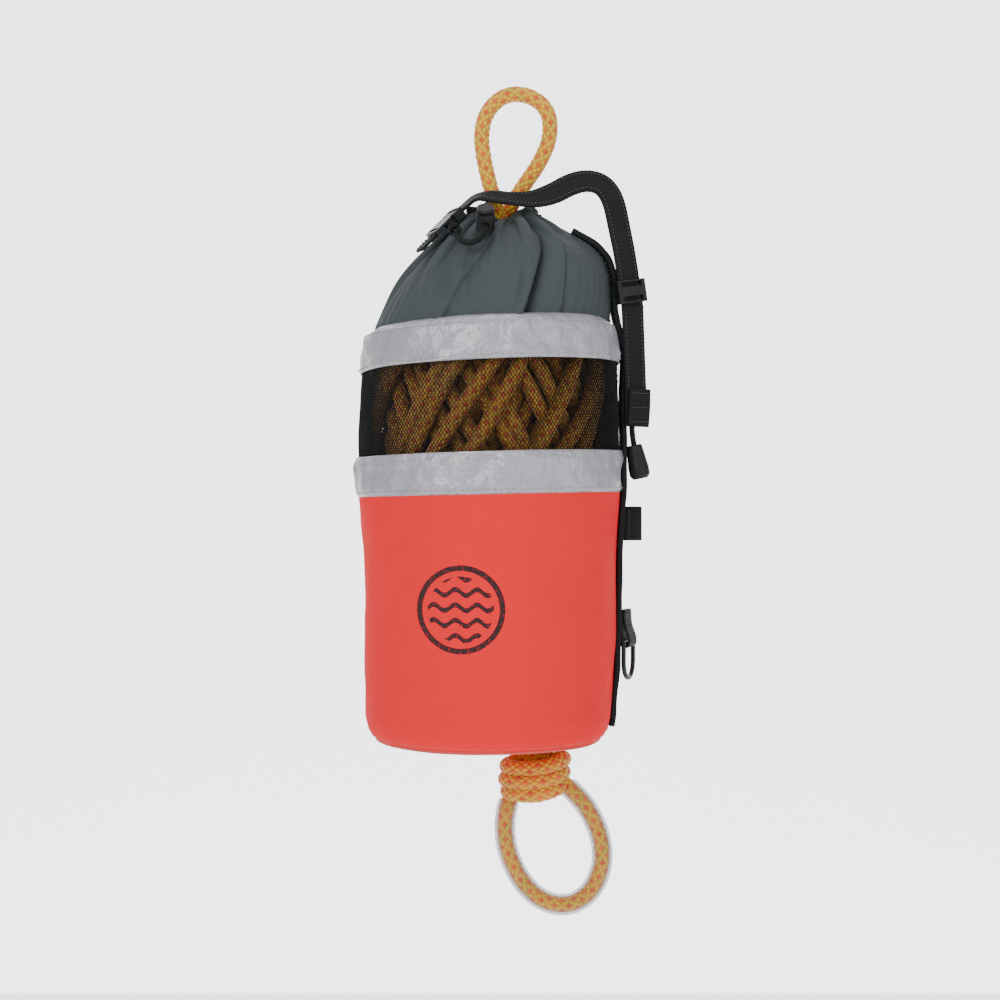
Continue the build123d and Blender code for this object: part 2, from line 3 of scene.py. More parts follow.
import bpy
import numpy as np
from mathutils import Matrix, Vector


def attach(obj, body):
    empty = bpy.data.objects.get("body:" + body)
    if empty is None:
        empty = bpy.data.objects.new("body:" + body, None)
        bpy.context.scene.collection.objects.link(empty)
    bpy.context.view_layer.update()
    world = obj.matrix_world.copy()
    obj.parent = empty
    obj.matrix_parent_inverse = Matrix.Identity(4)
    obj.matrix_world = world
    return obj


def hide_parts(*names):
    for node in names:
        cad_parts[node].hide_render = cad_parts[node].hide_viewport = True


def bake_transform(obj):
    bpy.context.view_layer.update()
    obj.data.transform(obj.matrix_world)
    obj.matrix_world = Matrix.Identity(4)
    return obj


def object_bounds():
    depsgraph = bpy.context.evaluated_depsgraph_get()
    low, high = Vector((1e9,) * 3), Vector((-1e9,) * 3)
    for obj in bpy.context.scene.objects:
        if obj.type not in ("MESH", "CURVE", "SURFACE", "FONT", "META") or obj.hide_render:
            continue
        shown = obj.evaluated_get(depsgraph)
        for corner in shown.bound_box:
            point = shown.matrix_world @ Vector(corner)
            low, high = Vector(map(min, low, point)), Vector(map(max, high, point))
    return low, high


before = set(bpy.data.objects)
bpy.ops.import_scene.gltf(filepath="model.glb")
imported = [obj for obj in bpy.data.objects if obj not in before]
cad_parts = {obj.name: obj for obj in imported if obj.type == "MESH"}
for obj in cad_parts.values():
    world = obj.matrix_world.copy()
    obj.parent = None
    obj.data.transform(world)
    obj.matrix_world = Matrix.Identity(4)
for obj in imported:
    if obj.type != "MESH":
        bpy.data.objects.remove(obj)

CAD_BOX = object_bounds()
MM = 0.001


# ------------------------------------------------------------------ camera, light and floor
def aim(thing, target):
    """Turns a camera or lamp so that it looks at target."""
    thing.rotation_euler = (Vector(target) - thing.location).to_track_quat("-Z", "Y").to_euler()


def area_light(name, place, target, size, power, colour=(1, 1, 1)):
    lamp = bpy.data.lights.new(name, "AREA")
    lamp.shape = "DISK"
    lamp.size = size
    lamp.energy = power
    lamp.color = colour
    holder = bpy.data.objects.new(name, lamp)
    holder.location = place
    bpy.context.scene.collection.objects.link(holder)
    aim(holder, target)


VIEW_CENTRE = (-0.011, 0.0, -0.245)
VIEW_DISTANCE = 1.0
VIEW_WIDTH = 0.62


def make_stage():
    """The camera at the photograph's angle, soft studio light, a pale floor and backdrop."""
    camera = bpy.data.cameras.new("camera")
    camera.sensor_width = 36.0
    camera.lens = 36.0 * VIEW_DISTANCE / VIEW_WIDTH
    camera.clip_start = 0.01
    holder = bpy.data.objects.new("camera", camera)
    holder.location = (VIEW_CENTRE[0], VIEW_CENTRE[1] - VIEW_DISTANCE, VIEW_CENTRE[2])
    bpy.context.scene.collection.objects.link(holder)
    aim(holder, VIEW_CENTRE)
    bpy.context.scene.camera = holder

    area_light("key", (-0.55, -1.3, 0.35), VIEW_CENTRE, 0.9, 12)
    area_light("fill", (0.9, -0.9, -0.1), VIEW_CENTRE, 1.0, 3.6)
    area_light("top", (0.0, -0.1, 1.1), VIEW_CENTRE, 0.8, 4)

    world = bpy.data.worlds.new("studio")
    world.use_nodes = True
    world.node_tree.nodes["Background"].inputs[0].default_value = (1, 1, 1, 1)
    world.node_tree.nodes["Background"].inputs[1].default_value = 0.62
    bpy.context.scene.world = world

    floor = flat_panel("floor", 8.0, (0, 0, CAD_BOX[0][2] - 0.72), (0, 0, 0), 0.5)
    backdrop = flat_panel("backdrop", 3.4, (0, 2.2, 0.1), (pi / 2, 0, 0), 2.4)


def flat_panel(name, size, place, turn, glow):
    """A pale panel of the studio that gives off a little light of its own."""
    bpy.ops.mesh.primitive_plane_add(size=size, location=place, rotation=turn)
    panel = bpy.context.object
    panel.name = name
    material = bpy.data.materials.new(name)
    material.use_nodes = True
    shader = material.node_tree.nodes["Principled BSDF"]
    shader.inputs["Base Color"].default_value = (0.92, 0.92, 0.92, 1)
    shader.inputs["Roughness"].default_value = 0.8
    shader.inputs["Emission Color"].default_value = (1, 1, 1, 1)
    shader.inputs["Emission Strength"].default_value = glow
    panel.data.materials.append(material)
    return panel


make_stage()


# ------------------------------------------------------------------ material tools
class Shader:
    """A Principled material with short calls for the nodes that this scene uses."""

    def __init__(self, name, roughness=0.7, **settings):
        self.material = bpy.data.materials.new(name)
        self.material.use_nodes = True
        self.nodes = self.material.node_tree.nodes
        self.links = self.material.node_tree.links
        self.surface = self.nodes["Principled BSDF"]
        self.surface.inputs["Roughness"].default_value = roughness
        for socket, value in settings.items():
            self.surface.inputs[socket.replace("_", " ")].default_value = value

    def put(self, socket, value):
        if isinstance(value, bpy.types.NodeSocket):
            self.links.new(value, socket)
        elif value is not None:
            socket.default_value = value

    def node(self, kind, output=0, inputs=(), **settings):
        made = self.nodes.new(kind)
        for key, value in settings.items():
            setattr(made, key, value)
        for key, value in dict(inputs).items():
            self.put(made.inputs[key], value)
        return made.outputs[output]

    def uv(self):
        return self.node("ShaderNodeUVMap", uv_map="metres")

    def place(self):
        return self.node("ShaderNodeTexCoord", output="Object")

    def stretch(self, vector, scale):
        return self.node("ShaderNodeMapping", inputs={"Vector": vector, "Scale": scale})

    def noise(self, vector, scale, detail=3.0, roughness=0.5):
        inputs = {"Vector": vector, "Scale": scale, "Detail": detail, "Roughness": roughness}
        return self.node("ShaderNodeTexNoise", output="Fac", inputs=inputs)

    def math(self, operation, a, b=None, c=None):
        inputs = {0: a}
        if b is not None:
            inputs[1] = b
        if c is not None:
            inputs[2] = c
        return self.node("ShaderNodeMath", inputs=inputs, operation=operation)

    def split(self, vector):
        made = self.nodes.new("ShaderNodeSeparateXYZ")
        self.links.new(vector, made.inputs[0])
        return made.outputs

    def ramp(self, factor, *stops):
        made = self.nodes.new("ShaderNodeValToRGB")
        self.links.new(factor, made.inputs[0])
        points = made.color_ramp.elements
        while len(points) < len(stops):
            points.new(0.5)
        for point, (position, colour) in zip(points, stops):
            point.position = position
            point.color = (*colour, 1) if len(colour) == 3 else colour
        return made.outputs[0]

    def mix(self, factor, a, b, blend="MIX"):
        made = self.nodes.new("ShaderNodeMix")
        made.data_type = "RGBA"
        made.blend_type = blend
        self.put(made.inputs[0], factor)
        self.put(made.inputs[6], (*a, 1) if isinstance(a, tuple) and len(a) == 3 else a)
        self.put(made.inputs[7], (*b, 1) if isinstance(b, tuple) and len(b) == 3 else b)
        return made.outputs[2]

    def colour(self, value):
        self.put(self.surface.inputs["Base Color"], value)

    def rough(self, factor, low, high):
        spread = self.node(
            "ShaderNodeMapRange", inputs={"Value": factor, "To Min": low, "To Max": high}
        )
        self.put(self.surface.inputs["Roughness"], spread)

    def bump(self, height, distance, strength=1.0):
        """Adds a bump over any earlier one. distance is the height of a full step, in metres."""
        inputs = {"Height": height, "Distance": distance, "Strength": strength}
        if self.surface.inputs["Normal"].links:
            inputs["Normal"] = self.surface.inputs["Normal"].links[0].from_socket
        self.put(self.surface.inputs["Normal"], self.node("ShaderNodeBump", inputs=inputs))

    def threads(self, vector, pitch):
        """Height of a plain weave with this thread pitch in metres, from 0 to 1."""
        u, v, _ = self.split(vector)
        along_u = self.math("SINE", self.math("MULTIPLY", u, tau / pitch))
        along_v = self.math("SINE", self.math("MULTIPLY", v, tau / pitch))
        product = self.math("MULTIPLY", along_u, along_v)
        return self.math("MULTIPLY_ADD", product, 0.5, 0.5)


def cloth_shader(name, colour, pitch, variation=0.12, roughness=0.75, sheen=0.15, depth=0.00012):
    """Woven cloth: thread weave, soft patches of fading, and creases that catch the light."""
    made = Shader(name, roughness, Sheen_Weight=sheen, Sheen_Roughness=0.5, Specular_IOR_Level=0.2)
    uv = made.uv()
    weave = made.threads(uv, pitch)
    patches = made.noise(uv, 14.0, 4.0, 0.6)
    grain = made.noise(uv, 900.0, 2.0)
    dark = tuple(c * (1 - variation) for c in colour)
    light = tuple(min(1.0, c * (1 + variation)) for c in colour)
    base = made.ramp(patches, (0.3, dark), (0.5, colour), (0.72, light))
    base = made.mix(made.math("MULTIPLY", grain, 0.25), base, dark)
    made.colour(made.mix(made.math("MULTIPLY", weave, 0.18), base, tuple(c * 0.7 for c in colour)))
    made.rough(patches, roughness - 0.1, roughness + 0.12)
    creases = made.noise(made.stretch(uv, (1.0, 2.4, 1.0)), 30.0, 5.0, 0.62)
    made.bump(creases, 0.0016, 0.6)
    made.bump(weave, depth, 0.7)
    return made


def cloth(*given):
    return cloth_shader(*given).material


BADGE = (-0.0335, -0.308)
BADGE_RADIUS = 0.024
BADGE_LINE = 0.0016
WAVE_LENGTH = 0.0125
WAVE_HEIGHT = 0.0017
WAVE_APART = 0.0044
BADGE_INK = (0.035, 0.02, 0.022)


def print_badge(made):
    """Prints a plain ring with wavy lines of water on the front of a cloth."""
    x, y, z = made.split(made.place())
    across = made.math("SUBTRACT", x, BADGE[0])
    up = made.math("SUBTRACT", z, BADGE[1])
    squares = made.math("ADD", made.math("POWER", across, 2.0), made.math("POWER", up, 2.0))
    from_middle = made.math("SQRT", squares)
    ring = made.math("COMPARE", from_middle, BADGE_RADIUS, BADGE_LINE)
    inside = made.math("LESS_THAN", from_middle, BADGE_RADIUS * 0.8)
    wave = made.math("SINE", made.math("MULTIPLY", across, tau / WAVE_LENGTH))
    swell = made.math("MULTIPLY", wave, WAVE_HEIGHT)
    row = made.math("PINGPONG", made.math("ADD", made.math("ADD", up, swell), 0.1 + WAVE_APART), WAVE_APART)
    line = made.math("MULTIPLY", made.math("LESS_THAN", row, 0.0015), inside)
    front = made.math("LESS_THAN", y, 0.0)
    worn = made.math("GREATER_THAN", made.noise(made.place(), 1500.0, 3.0), 0.36)
    mark = made.math("MULTIPLY", made.math("MULTIPLY", made.math("MAXIMUM", ring, line), front), worn)
    under = made.surface.inputs["Base Color"].links[0].from_socket
    made.colour(made.mix(mark, under, BADGE_INK))


def coral_cloth():
    made = cloth_shader("coral_cloth", (0.93, 0.013, 0.020), 0.0007, 0.05, 0.8, 0.0)
    print_badge(made)
    return made.material


def reflective_tape(name):
    """Glass bead tape: a silver cloth with a faint net of beads, and mottled patches of painted shade and
    painted highlight for the crumpled tape.
    """
    made = Shader(name, 0.45, Metallic=0.35)
    uv = made.uv()
    patches = made.noise(uv, 52.0, 6.0, 0.72)
    streaks = made.noise(made.stretch(uv, (1.0, 2.2, 1.0)), 34.0, 4.0, 0.6)
    # painted shade and painted highlight: darker and paler grey patches and streaks stand in for the light on
    # the crumpled tape
    base = made.ramp(
        patches, (0.2, (0.24, 0.235, 0.28)), (0.42, (0.40, 0.39, 0.45)), (0.6, (0.47, 0.46, 0.52)),
        (0.8, (0.60, 0.59, 0.64)),
    )
    base = made.mix(made.math("MULTIPLY", streaks, 0.35), base, (0.40, 0.41, 0.40))
    made.colour(base)
    made.rough(patches, 0.3, 0.55)
    beads = made.node("ShaderNodeTexVoronoi", inputs={"Vector": uv, "Scale": 2400.0})
    made.bump(made.noise(uv, 26.0, 4.0, 0.55), 0.012, 0.9)
    made.bump(made.noise(uv, 90.0, 4.0, 0.6), 0.0018, 0.6)
    made.bump(beads, 0.00008, 0.5)
    return made.material


def webbing(name, pitch=0.0013, colour=(0.007, 0.008, 0.009)):
    """Ribbed nylon webbing: ribs across, a herringbone of threads, painted shade in their grooves and painted
    highlight on their crowns, and scuffed edges.
    """
    made = Shader(name, 0.6, Specular_IOR_Level=0.16)
    uv = made.uv()
    u, v, _ = made.split(uv)
    ribs = made.math("SINE", made.math("MULTIPLY", v, tau / pitch))
    zigzag = made.math("PINGPONG", u, 0.0018)
    twill = made.math("SINE", made.math("MULTIPLY", made.math("ADD", v, zigzag), tau / (0.6 * pitch)))
    height = made.math("MULTIPLY_ADD", made.math("ADD", ribs, twill), 0.25, 0.5)
    scuffs = made.noise(uv, 60.0, 5.0, 0.65)
    # painted shade and painted highlight: the colour runs from half the webbing's colour in the grooves to
    # 2.6 times it on the crowns
    light = tuple(c * 2.6 for c in colour)
    base = made.ramp(height, (0.1, tuple(c * 0.5 for c in colour)), (0.9, light))
    made.colour(made.mix(made.ramp(scuffs, (0.55, (0, 0, 0)), (0.8, (0.3,) * 3)), base, (0.05, 0.05, 0.055)))
    made.rough(scuffs, 0.5, 0.75)
    made.bump(height, 0.0003, 0.9)
    return made.material


ROPE_LEAD = 0.036
ROPE_STRANDS = 8


def rope_cells(made):
    """The two crossing families of a braid, and which of them lies on top, from the metres UV."""
    u, v, _ = made.split(made.uv())
    turn = made.math("MULTIPLY", u, float(ROPE_STRANDS))
    run = made.math("MULTIPLY", v, ROPE_STRANDS / ROPE_LEAD)
    right = made.math("ADD", turn, run)
    left = made.math("ADD", made.math("SUBTRACT", turn, run), 4096.0)
    return right, left


def rope_material(name, yellow, orange, red, green, dirt_and_shade=0.15):
    """Braided floating rope: yellow yarn with orange, red and green tracers, painted shade in the braid's
    grooves, and brown grime that is part dirt and part painted shade.
    """
    made = Shader(name, 0.55, Sheen_Weight=0.2)
    right, left = rope_cells(made)
    right_cell = made.math("FLOOR", right)
    left_cell = made.math("FLOOR", left)
    parity = made.math("MODULO", made.math("ADD", right_cell, left_cell), 2.0)

    def chosen(cell, every, which):
        return made.math("COMPARE", made.math("MODULO", cell, float(every)), float(which), 0.2)

    uv = made.uv()
    patches = made.noise(made.place(), 90.0, 4.0)
    base = made.mix(patches, tuple(c * 0.82 for c in yellow), yellow)
    ridge_right = made.math("ABSOLUTE", made.math("SINE", made.math("MULTIPLY", right, pi)))
    ridge_left = made.math("ABSOLUTE", made.math("SINE", made.math("MULTIPLY", left, pi)))
    ridge = made.math("MULTIPLY", ridge_right, ridge_left)
    crown = made.math("GREATER_THAN", ridge, 0.16)
    on_top = made.math("MULTIPLY", made.math("GREATER_THAN", parity, 0.5), crown)
    below = made.math("MULTIPLY", made.math("LESS_THAN", parity, 0.5), made.math("LESS_THAN", ridge, 0.6))
    base = made.mix(made.math("MULTIPLY", on_top, chosen(right_cell, 4, 1)), base, orange)
    base = made.mix(made.math("MULTIPLY", on_top, chosen(right_cell, 4, 3)), base, red)
    base = made.mix(made.math("MULTIPLY", below, chosen(left_cell, 8, 3)), base, green)
    # painted shade: the braid's grooves are darkened to stand in for the shade between its strands
    groove = made.ramp(ridge, (0.0, (0.5, 0.42, 0.36)), (0.3, (1, 1, 1)))
    base = made.mix(1.0, base, groove, "MULTIPLY")
    # brown grime: real dirt where dirt_and_shade is low, painted shade where it is heavy, as on the packed
    # rope
    grime_and_shade = made.ramp(made.noise(made.place(), 40.0, 5.0), (0.5, (0, 0, 0)), (0.8, (dirt_and_shade,) * 3))
    made.colour(made.mix(grime_and_shade, base, (0.16, 0.09, 0.03)))
    yarn = made.noise(made.stretch(uv, (60.0, 900.0, 1.0)), 1.0, 2.0)
    made.bump(ridge, 0.0006, 0.8)
    made.bump(yarn, 0.0002, 0.5)
    made.rough(patches, 0.45, 0.65)
    return made.material


def braid_cord(name, colour):
    """Thin black braided cord, with painted shade in its grooves and painted highlight on its crowns."""
    made = Shader(name, 0.6, Specular_IOR_Level=0.2)
    right, left = rope_cells(made)
    ridge = made.math(
        "MULTIPLY",
        made.math("ABSOLUTE", made.math("SINE", made.math("MULTIPLY", right, 2.5 * pi))),
        made.math("ABSOLUTE", made.math("SINE", made.math("MULTIPLY", left, 2.5 * pi))),
    )
    # painted shade and painted highlight: 0.4 times the colour in the grooves, 2.4 times on the crowns
    dark = tuple(c * 0.4 for c in colour)
    light = tuple(c * 2.4 for c in colour)
    made.colour(made.ramp(ridge, (0.0, dark), (0.8, light)))
    made.rough(ridge, 0.7, 0.5)
    made.bump(ridge, 0.0003, 0.8)
    return made.material


def plastic(name, colour, roughness=0.42):
    """Moulded plastic: fine texture, a soft shine, and paler rubbed patches."""
    made = Shader(name, roughness, Specular_IOR_Level=0.25)
    place = made.place()
    fine = made.noise(place, 2600.0, 2.0)
    wear = made.noise(place, 160.0, 5.0, 0.65)
    made.colour(made.ramp(wear, (0.35, colour), (0.75, tuple(c * 2.2 + 0.004 for c in colour))))
    made.rough(wear, roughness - 0.08, roughness + 0.15)
    made.bump(fine, 0.00006, 0.6)
    return made.material


def metal(name, colour, roughness=0.35, metallic=1.0):
    """Plated or painted metal, dulled in patches."""
    made = Shader(name, roughness, Metallic=metallic)
    place = made.place()
    wear = made.noise(place, 300.0, 5.0, 0.7)
    made.colour(made.ramp(wear, (0.4, colour), (0.8, tuple(min(1, c * 1.6 + 0.01) for c in colour))))
    made.rough(wear, roughness - 0.1, roughness + 0.2)
    made.bump(made.noise(place, 1800.0), 0.00004, 0.6)
    return made.material


def foam(name):
    """Closed cell foam: small round cells, with painted shade in their hollows."""
    made = Shader(name, 0.9)
    place = made.place()
    cells = made.node("ShaderNodeTexVoronoi", inputs={"Vector": place, "Scale": 700.0})
    # painted shade: each cell's hollow is darker, following the bump's dents
    made.colour(made.ramp(cells, (0.0, (0.12, 0.12, 0.125)), (0.7, (0.26, 0.26, 0.27))))
    made.bump(cells, 0.0004, 0.7)
    return made.material


def clear_hose(name):
    """Soft clear PVC: see-through face on, milky grey towards its edges."""
    made = Shader(name, 0.22, IOR=1.4)
    place = made.place()
    haze = made.noise(place, 120.0, 4.0)
    made.colour(made.ramp(haze, (0.3, (0.36, 0.35, 0.41)), (0.7, (0.50, 0.49, 0.55))))
    made.bump(made.noise(place, 420.0, 3.0), 0.0002, 0.4)
    facing = made.node("ShaderNodeLayerWeight", output="Facing", inputs={"Blend": 0.5})
    cover = made.ramp(facing, (0.0, (0.02,) * 3), (0.33, (0.08,) * 3), (0.43, (0.45,) * 3), (1.0, (0.9,) * 3))
    clear = made.nodes.new("ShaderNodeBsdfTransparent")
    blend = made.nodes.new("ShaderNodeMixShader")
    output = made.nodes["Material Output"]
    made.links.new(cover, blend.inputs[0])
    made.links.new(clear.outputs[0], blend.inputs[1])
    made.links.new(made.surface.outputs[0], blend.inputs[2])
    made.links.new(blend.outputs[0], output.inputs[0])
    return made.material


def thread(name, colour):
    """Sewing thread, with painted shade in the low places between its plies."""
    made = Shader(name, 0.6, Sheen_Weight=0.2)
    lay = made.noise(made.place(), 3000.0, 2.0)
    # painted shade: the thread is darkened where its bump lies low
    made.colour(made.ramp(lay, (0.3, tuple(c * 0.6 for c in colour)), (0.7, colour)))
    made.bump(lay, 0.0001, 0.6)
    return made.material


CORAL = coral_cloth()
GREY = cloth("grey_cloth", (0.056, 0.069, 0.073), 0.0008, 0.16, 0.7, 0.02)
BASE_CLOTH = cloth("base_cloth", (0.86, 0.09, 0.075), 0.0009, 0.1, 0.75)
# painted shade: near-black sheet for the dark inside of the bag seen through the net at its sides
SIDE_SHADE_CLOTH = cloth("side_cloth", (0.010, 0.011, 0.012), 0.0008, 0.2, 0.8)
LINING = cloth("lining_cloth", (0.16, 0.17, 0.18), 0.0009, 0.1, 0.8)
TAPE = reflective_tape("reflective_tape")
WEBBING = webbing("black_webbing")
NET = plastic("net_yarn", (0.005, 0.006, 0.007), 0.7)
ROPE = rope_material(
    "rope_yarn", (0.93, 0.50, 0.004), (0.86, 0.13, 0.008), (0.76, 0.08, 0.008), (0.50, 0.50, 0.02)
)
# painted shade: a darker, grimier copy of the rope yarn for the packed rope lying in shade behind the net
SHADED_PACKED_ROPE = rope_material(
    "shaded_packed_rope_yarn", (0.56, 0.27, 0.014), (0.46, 0.06, 0.006), (0.42, 0.04, 0.005), (0.3, 0.2, 0.012), 0.7
)
KNOT_ROPE = rope_material(
    "knot_yarn", (0.90, 0.40, 0.003), (0.84, 0.12, 0.006), (0.70, 0.05, 0.005), (0.48, 0.40, 0.02), 0.2
)
CORD = braid_cord("black_braid", (0.007, 0.008, 0.009))
PLASTIC = plastic("black_plastic", (0.006, 0.007, 0.008))
HOUSING = plastic("buckle_plastic", (0.012, 0.014, 0.016), 0.36)
RING_METAL = metal("black_ring", (0.02, 0.02, 0.022), 0.35, 0.6)
GROMMET = metal("plated_grommet", (0.5, 0.5, 0.5), 0.3)
FOAM = foam("closed_cell_foam")
HOSE = clear_hose("clear_pvc")
DARK_THREAD = thread("dark_thread", (0.03, 0.03, 0.032))
PALE_THREAD = thread("pale_thread", (0.10, 0.11, 0.115))
SILVER_THREAD = thread("silver_thread", (0.5, 0.5, 0.52))
CORAL_THREAD = thread("coral_thread", (0.8, 0.1, 0.08))


# ------------------------------------------------------------------ mesh tools
def finish_piece(piece, body, replaced=(), slot=None, material=None):
    """Gives a made piece its body and its material, and hides the CAD nodes it stands for."""
    if material is not None:
        piece.data.materials.clear()
        piece.data.materials.append(material)
    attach(piece, body)
    if replaced:
        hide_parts(*replaced)
    return piece


def mesh_piece(name, points, faces, uv=None):
    """A mesh object from points, faces and one UV in metres for each face corner."""
    mesh = bpy.data.meshes.new(name)
    mesh.from_pydata([tuple(p) for p in points], [], [tuple(f) for f in faces])
    if uv is not None:
        layer = mesh.uv_layers.new(name="metres")
        layer.data.foreach_set("uv", np.asarray(uv, dtype=float).ravel())
    mesh.polygons.foreach_set("use_smooth", [True] * len(mesh.polygons))
    mesh.update()
    piece = bpy.data.objects.new(name, mesh)
    bpy.context.scene.collection.objects.link(piece)
    return piece


def quads(rows, columns, closed=True, first=0):
    """The faces between rows of points. closed joins the last point of each row to its first."""
    faces = []
    for row in range(rows - 1):
        low = first + row * columns
        high = low + columns
        for column in range(columns if closed else columns - 1):
            right = (column + 1) % columns
            faces.append((low + column, low + right, high + right, high + column))
    return faces


def quad_uvs(left, right, up):
    """The UVs of those faces, from each column's two edges and each row's height."""
    uv = []
    for low, high in zip(up[:-1], up[1:]):
        for a, b in zip(left, right):
            uv += [(a, low), (b, low), (b, high), (a, high)]
    return uv


def end_caps(rows, columns):
    """One face over the first row of points and one over the last."""
    final = (rows - 1) * columns
    return [tuple(range(columns))[::-1], tuple(final + column for column in range(columns))]


def grid_piece(name, grid, wrap=False):
    """A sheet of quads from an array of rows by columns of points, with a UV that follows its size.
    wrap joins the last column to the first."""
    grid = np.asarray(grid, dtype=float)
    rows, columns = grid.shape[:2]
    closed = np.concatenate([grid, grid[:, :1]], axis=1) if wrap else grid
    across = np.linalg.norm(np.diff(closed, axis=1), axis=2).mean(axis=0)
    u = np.concatenate([[0], np.cumsum(across)])
    along = np.linalg.norm(np.diff(grid, axis=0), axis=2).mean(axis=1)
    v = np.concatenate([[0], np.cumsum(along)])
    return mesh_piece(name, grid.reshape(-1, 3), quads(rows, columns, wrap), quad_uvs(u[:-1], u[1:], v))


def thicken(piece, thickness, offset=-1.0):
    """Gives a sheet its real thickness, inward by default, with its rim closed, as plain mesh."""
    solid = piece.modifiers.new("thickness", "SOLIDIFY")
    solid.thickness = thickness
    solid.offset = offset
    scene_graph = bpy.context.evaluated_depsgraph_get()
    made = bpy.data.meshes.new_from_object(
        piece.evaluated_get(scene_graph), preserve_all_data_layers=True, depsgraph=scene_graph
    )
    piece.modifiers.clear()
    piece.data = made
    made.polygons.foreach_set("use_smooth", [True] * len(made.polygons))


def join(name, parts):
    """One object from several meshes, keeping each one's materials."""
    bpy.ops.object.select_all(action="DESELECT")
    for part in parts:
        part.select_set(True)
    bpy.context.view_layer.objects.active = parts[0]
    bpy.ops.object.join()
    parts[0].name = name
    return parts[0]


def unit(vector):
    """The same direction with a length of one."""
    vector = np.asarray(vector, dtype=float)
    return vector / np.linalg.norm(vector)


def smooth_path(points, per_point=10, order=3):
    """Even points along a NURBS that follows the control points, in metres."""
    curve = bpy.data.curves.new("path", "CURVE")
    curve.dimensions = "3D"
    spline = curve.splines.new("NURBS")
    spline.points.add(len(points) - 1)
    for control, point in zip(spline.points, points):
        control.co = (*[float(c) for c in point], 1)
    spline.order_u = order
    spline.use_endpoint_u = True
    curve.resolution_u = per_point
    holder = bpy.data.objects.new("path", curve)
    bpy.context.scene.collection.objects.link(holder)
    bpy.context.view_layer.update()
    mesh = bpy.data.meshes.new_from_object(holder)
    found = np.array([v.co[:] for v in mesh.vertices])
    bpy.data.objects.remove(holder)
    bpy.data.curves.remove(curve)
    bpy.data.meshes.remove(mesh)
    return found


def run_along(points):
    """How far along the path each of its points lies."""
    return np.concatenate([[0], np.cumsum(np.linalg.norm(np.diff(points, axis=0), axis=1))])


def even(points, step):
    """The same path with points at an even step."""
    points = np.asarray(points, dtype=float)
    run = run_along(points)
    count = max(2, int(round(run[-1] / step)) + 1)
    wanted = np.linspace(0, run[-1], count)
    return np.stack([np.interp(wanted, run, points[:, k]) for k in range(3)], axis=1)


def frames_along(path):
    """Tangent and two cross directions at each point, turning as little as possible."""
    tangents = np.gradient(path, axis=0)
    tangents /= np.linalg.norm(tangents, axis=1)[:, None]
    start = np.cross(tangents[0], (0.0, 1.0, 0.0))
    if np.linalg.norm(start) < 0.1:
        start = np.cross(tangents[0], (1.0, 0.0, 0.0))
    side = unit(start)
    sides = []
    for tangent in tangents:
        side = unit(side - tangent * np.dot(side, tangent))
        sides.append(side)
    sides = np.array(sides)
    return tangents, sides, np.cross(tangents, sides)


def tube(name, path, radius, around=16, cap=True, ripple=None):
    """A tube along the path whose UV is turns round it and metres along it.
    radius is one number or one for each point; ripple(turn, metres) adds to it."""
    path = np.asarray(path)
    _, sides, ups = frames_along(path)
    radii = np.broadcast_to(np.asarray(radius, dtype=float), len(path))
    run = run_along(path)
    turn = np.arange(around) / around
    spread = np.tile(radii[:, None], (1, around))
    if ripple is not None:
        spread = spread + ripple(turn[None, :], run[:, None])
    angle = turn * tau
    grid = (path[:, None, :] + spread[..., None] * (np.cos(angle)[None, :, None] * sides[:, None, :]
                                                     + np.sin(angle)[None, :, None] * ups[:, None, :]))
    faces = quads(len(path), around)
    uv = quad_uvs(turn, turn + 1 / around, run)
    if cap:
        faces += end_caps(len(path), around)
        uv += [(0, 0)] * (2 * around)
    return mesh_piece(name, grid.reshape(-1, 3), faces, uv)


def ribbon(name, path, across, width, thickness, edge=0.0004, bow=0.0):
    """Flat webbing along the path. across is the width direction at each point, and bow is how far
    its edges bend down to the round wall below it."""
    path = np.asarray(path)
    tangents = np.gradient(path, axis=0)
    tangents /= np.linalg.norm(tangents, axis=1)[:, None]
    across = np.asarray(across) - tangents * np.sum(np.asarray(across) * tangents, axis=1)[:, None]
    across /= np.linalg.norm(across, axis=1)[:, None]
    normal = np.cross(tangents, across)
    half = width / 2
    thick = thickness / 2
    flat = [-half + edge, -half / 2, 0, half / 2, half - edge]
    section = [(a, -thick) for a in flat] + [(half, -thick + edge), (half, thick - edge)]
    section += [(a, thick) for a in reversed(flat)] + [(-half, thick - edge), (-half, -thick + edge)]
    grid = np.stack([path + a * across + (b - bow * (a / half) ** 2) * normal for a, b in section], axis=1)
    run = run_along(path)
    size = len(section)
    edges = [a for a, _ in section]
    faces = quads(len(path), size) + end_caps(len(path), size)
    uv = quad_uvs(edges, edges[1:] + edges[:1], run) + [(0, 0)] * (2 * size)
    return mesh_piece(name, grid.reshape(-1, 3), faces, uv)


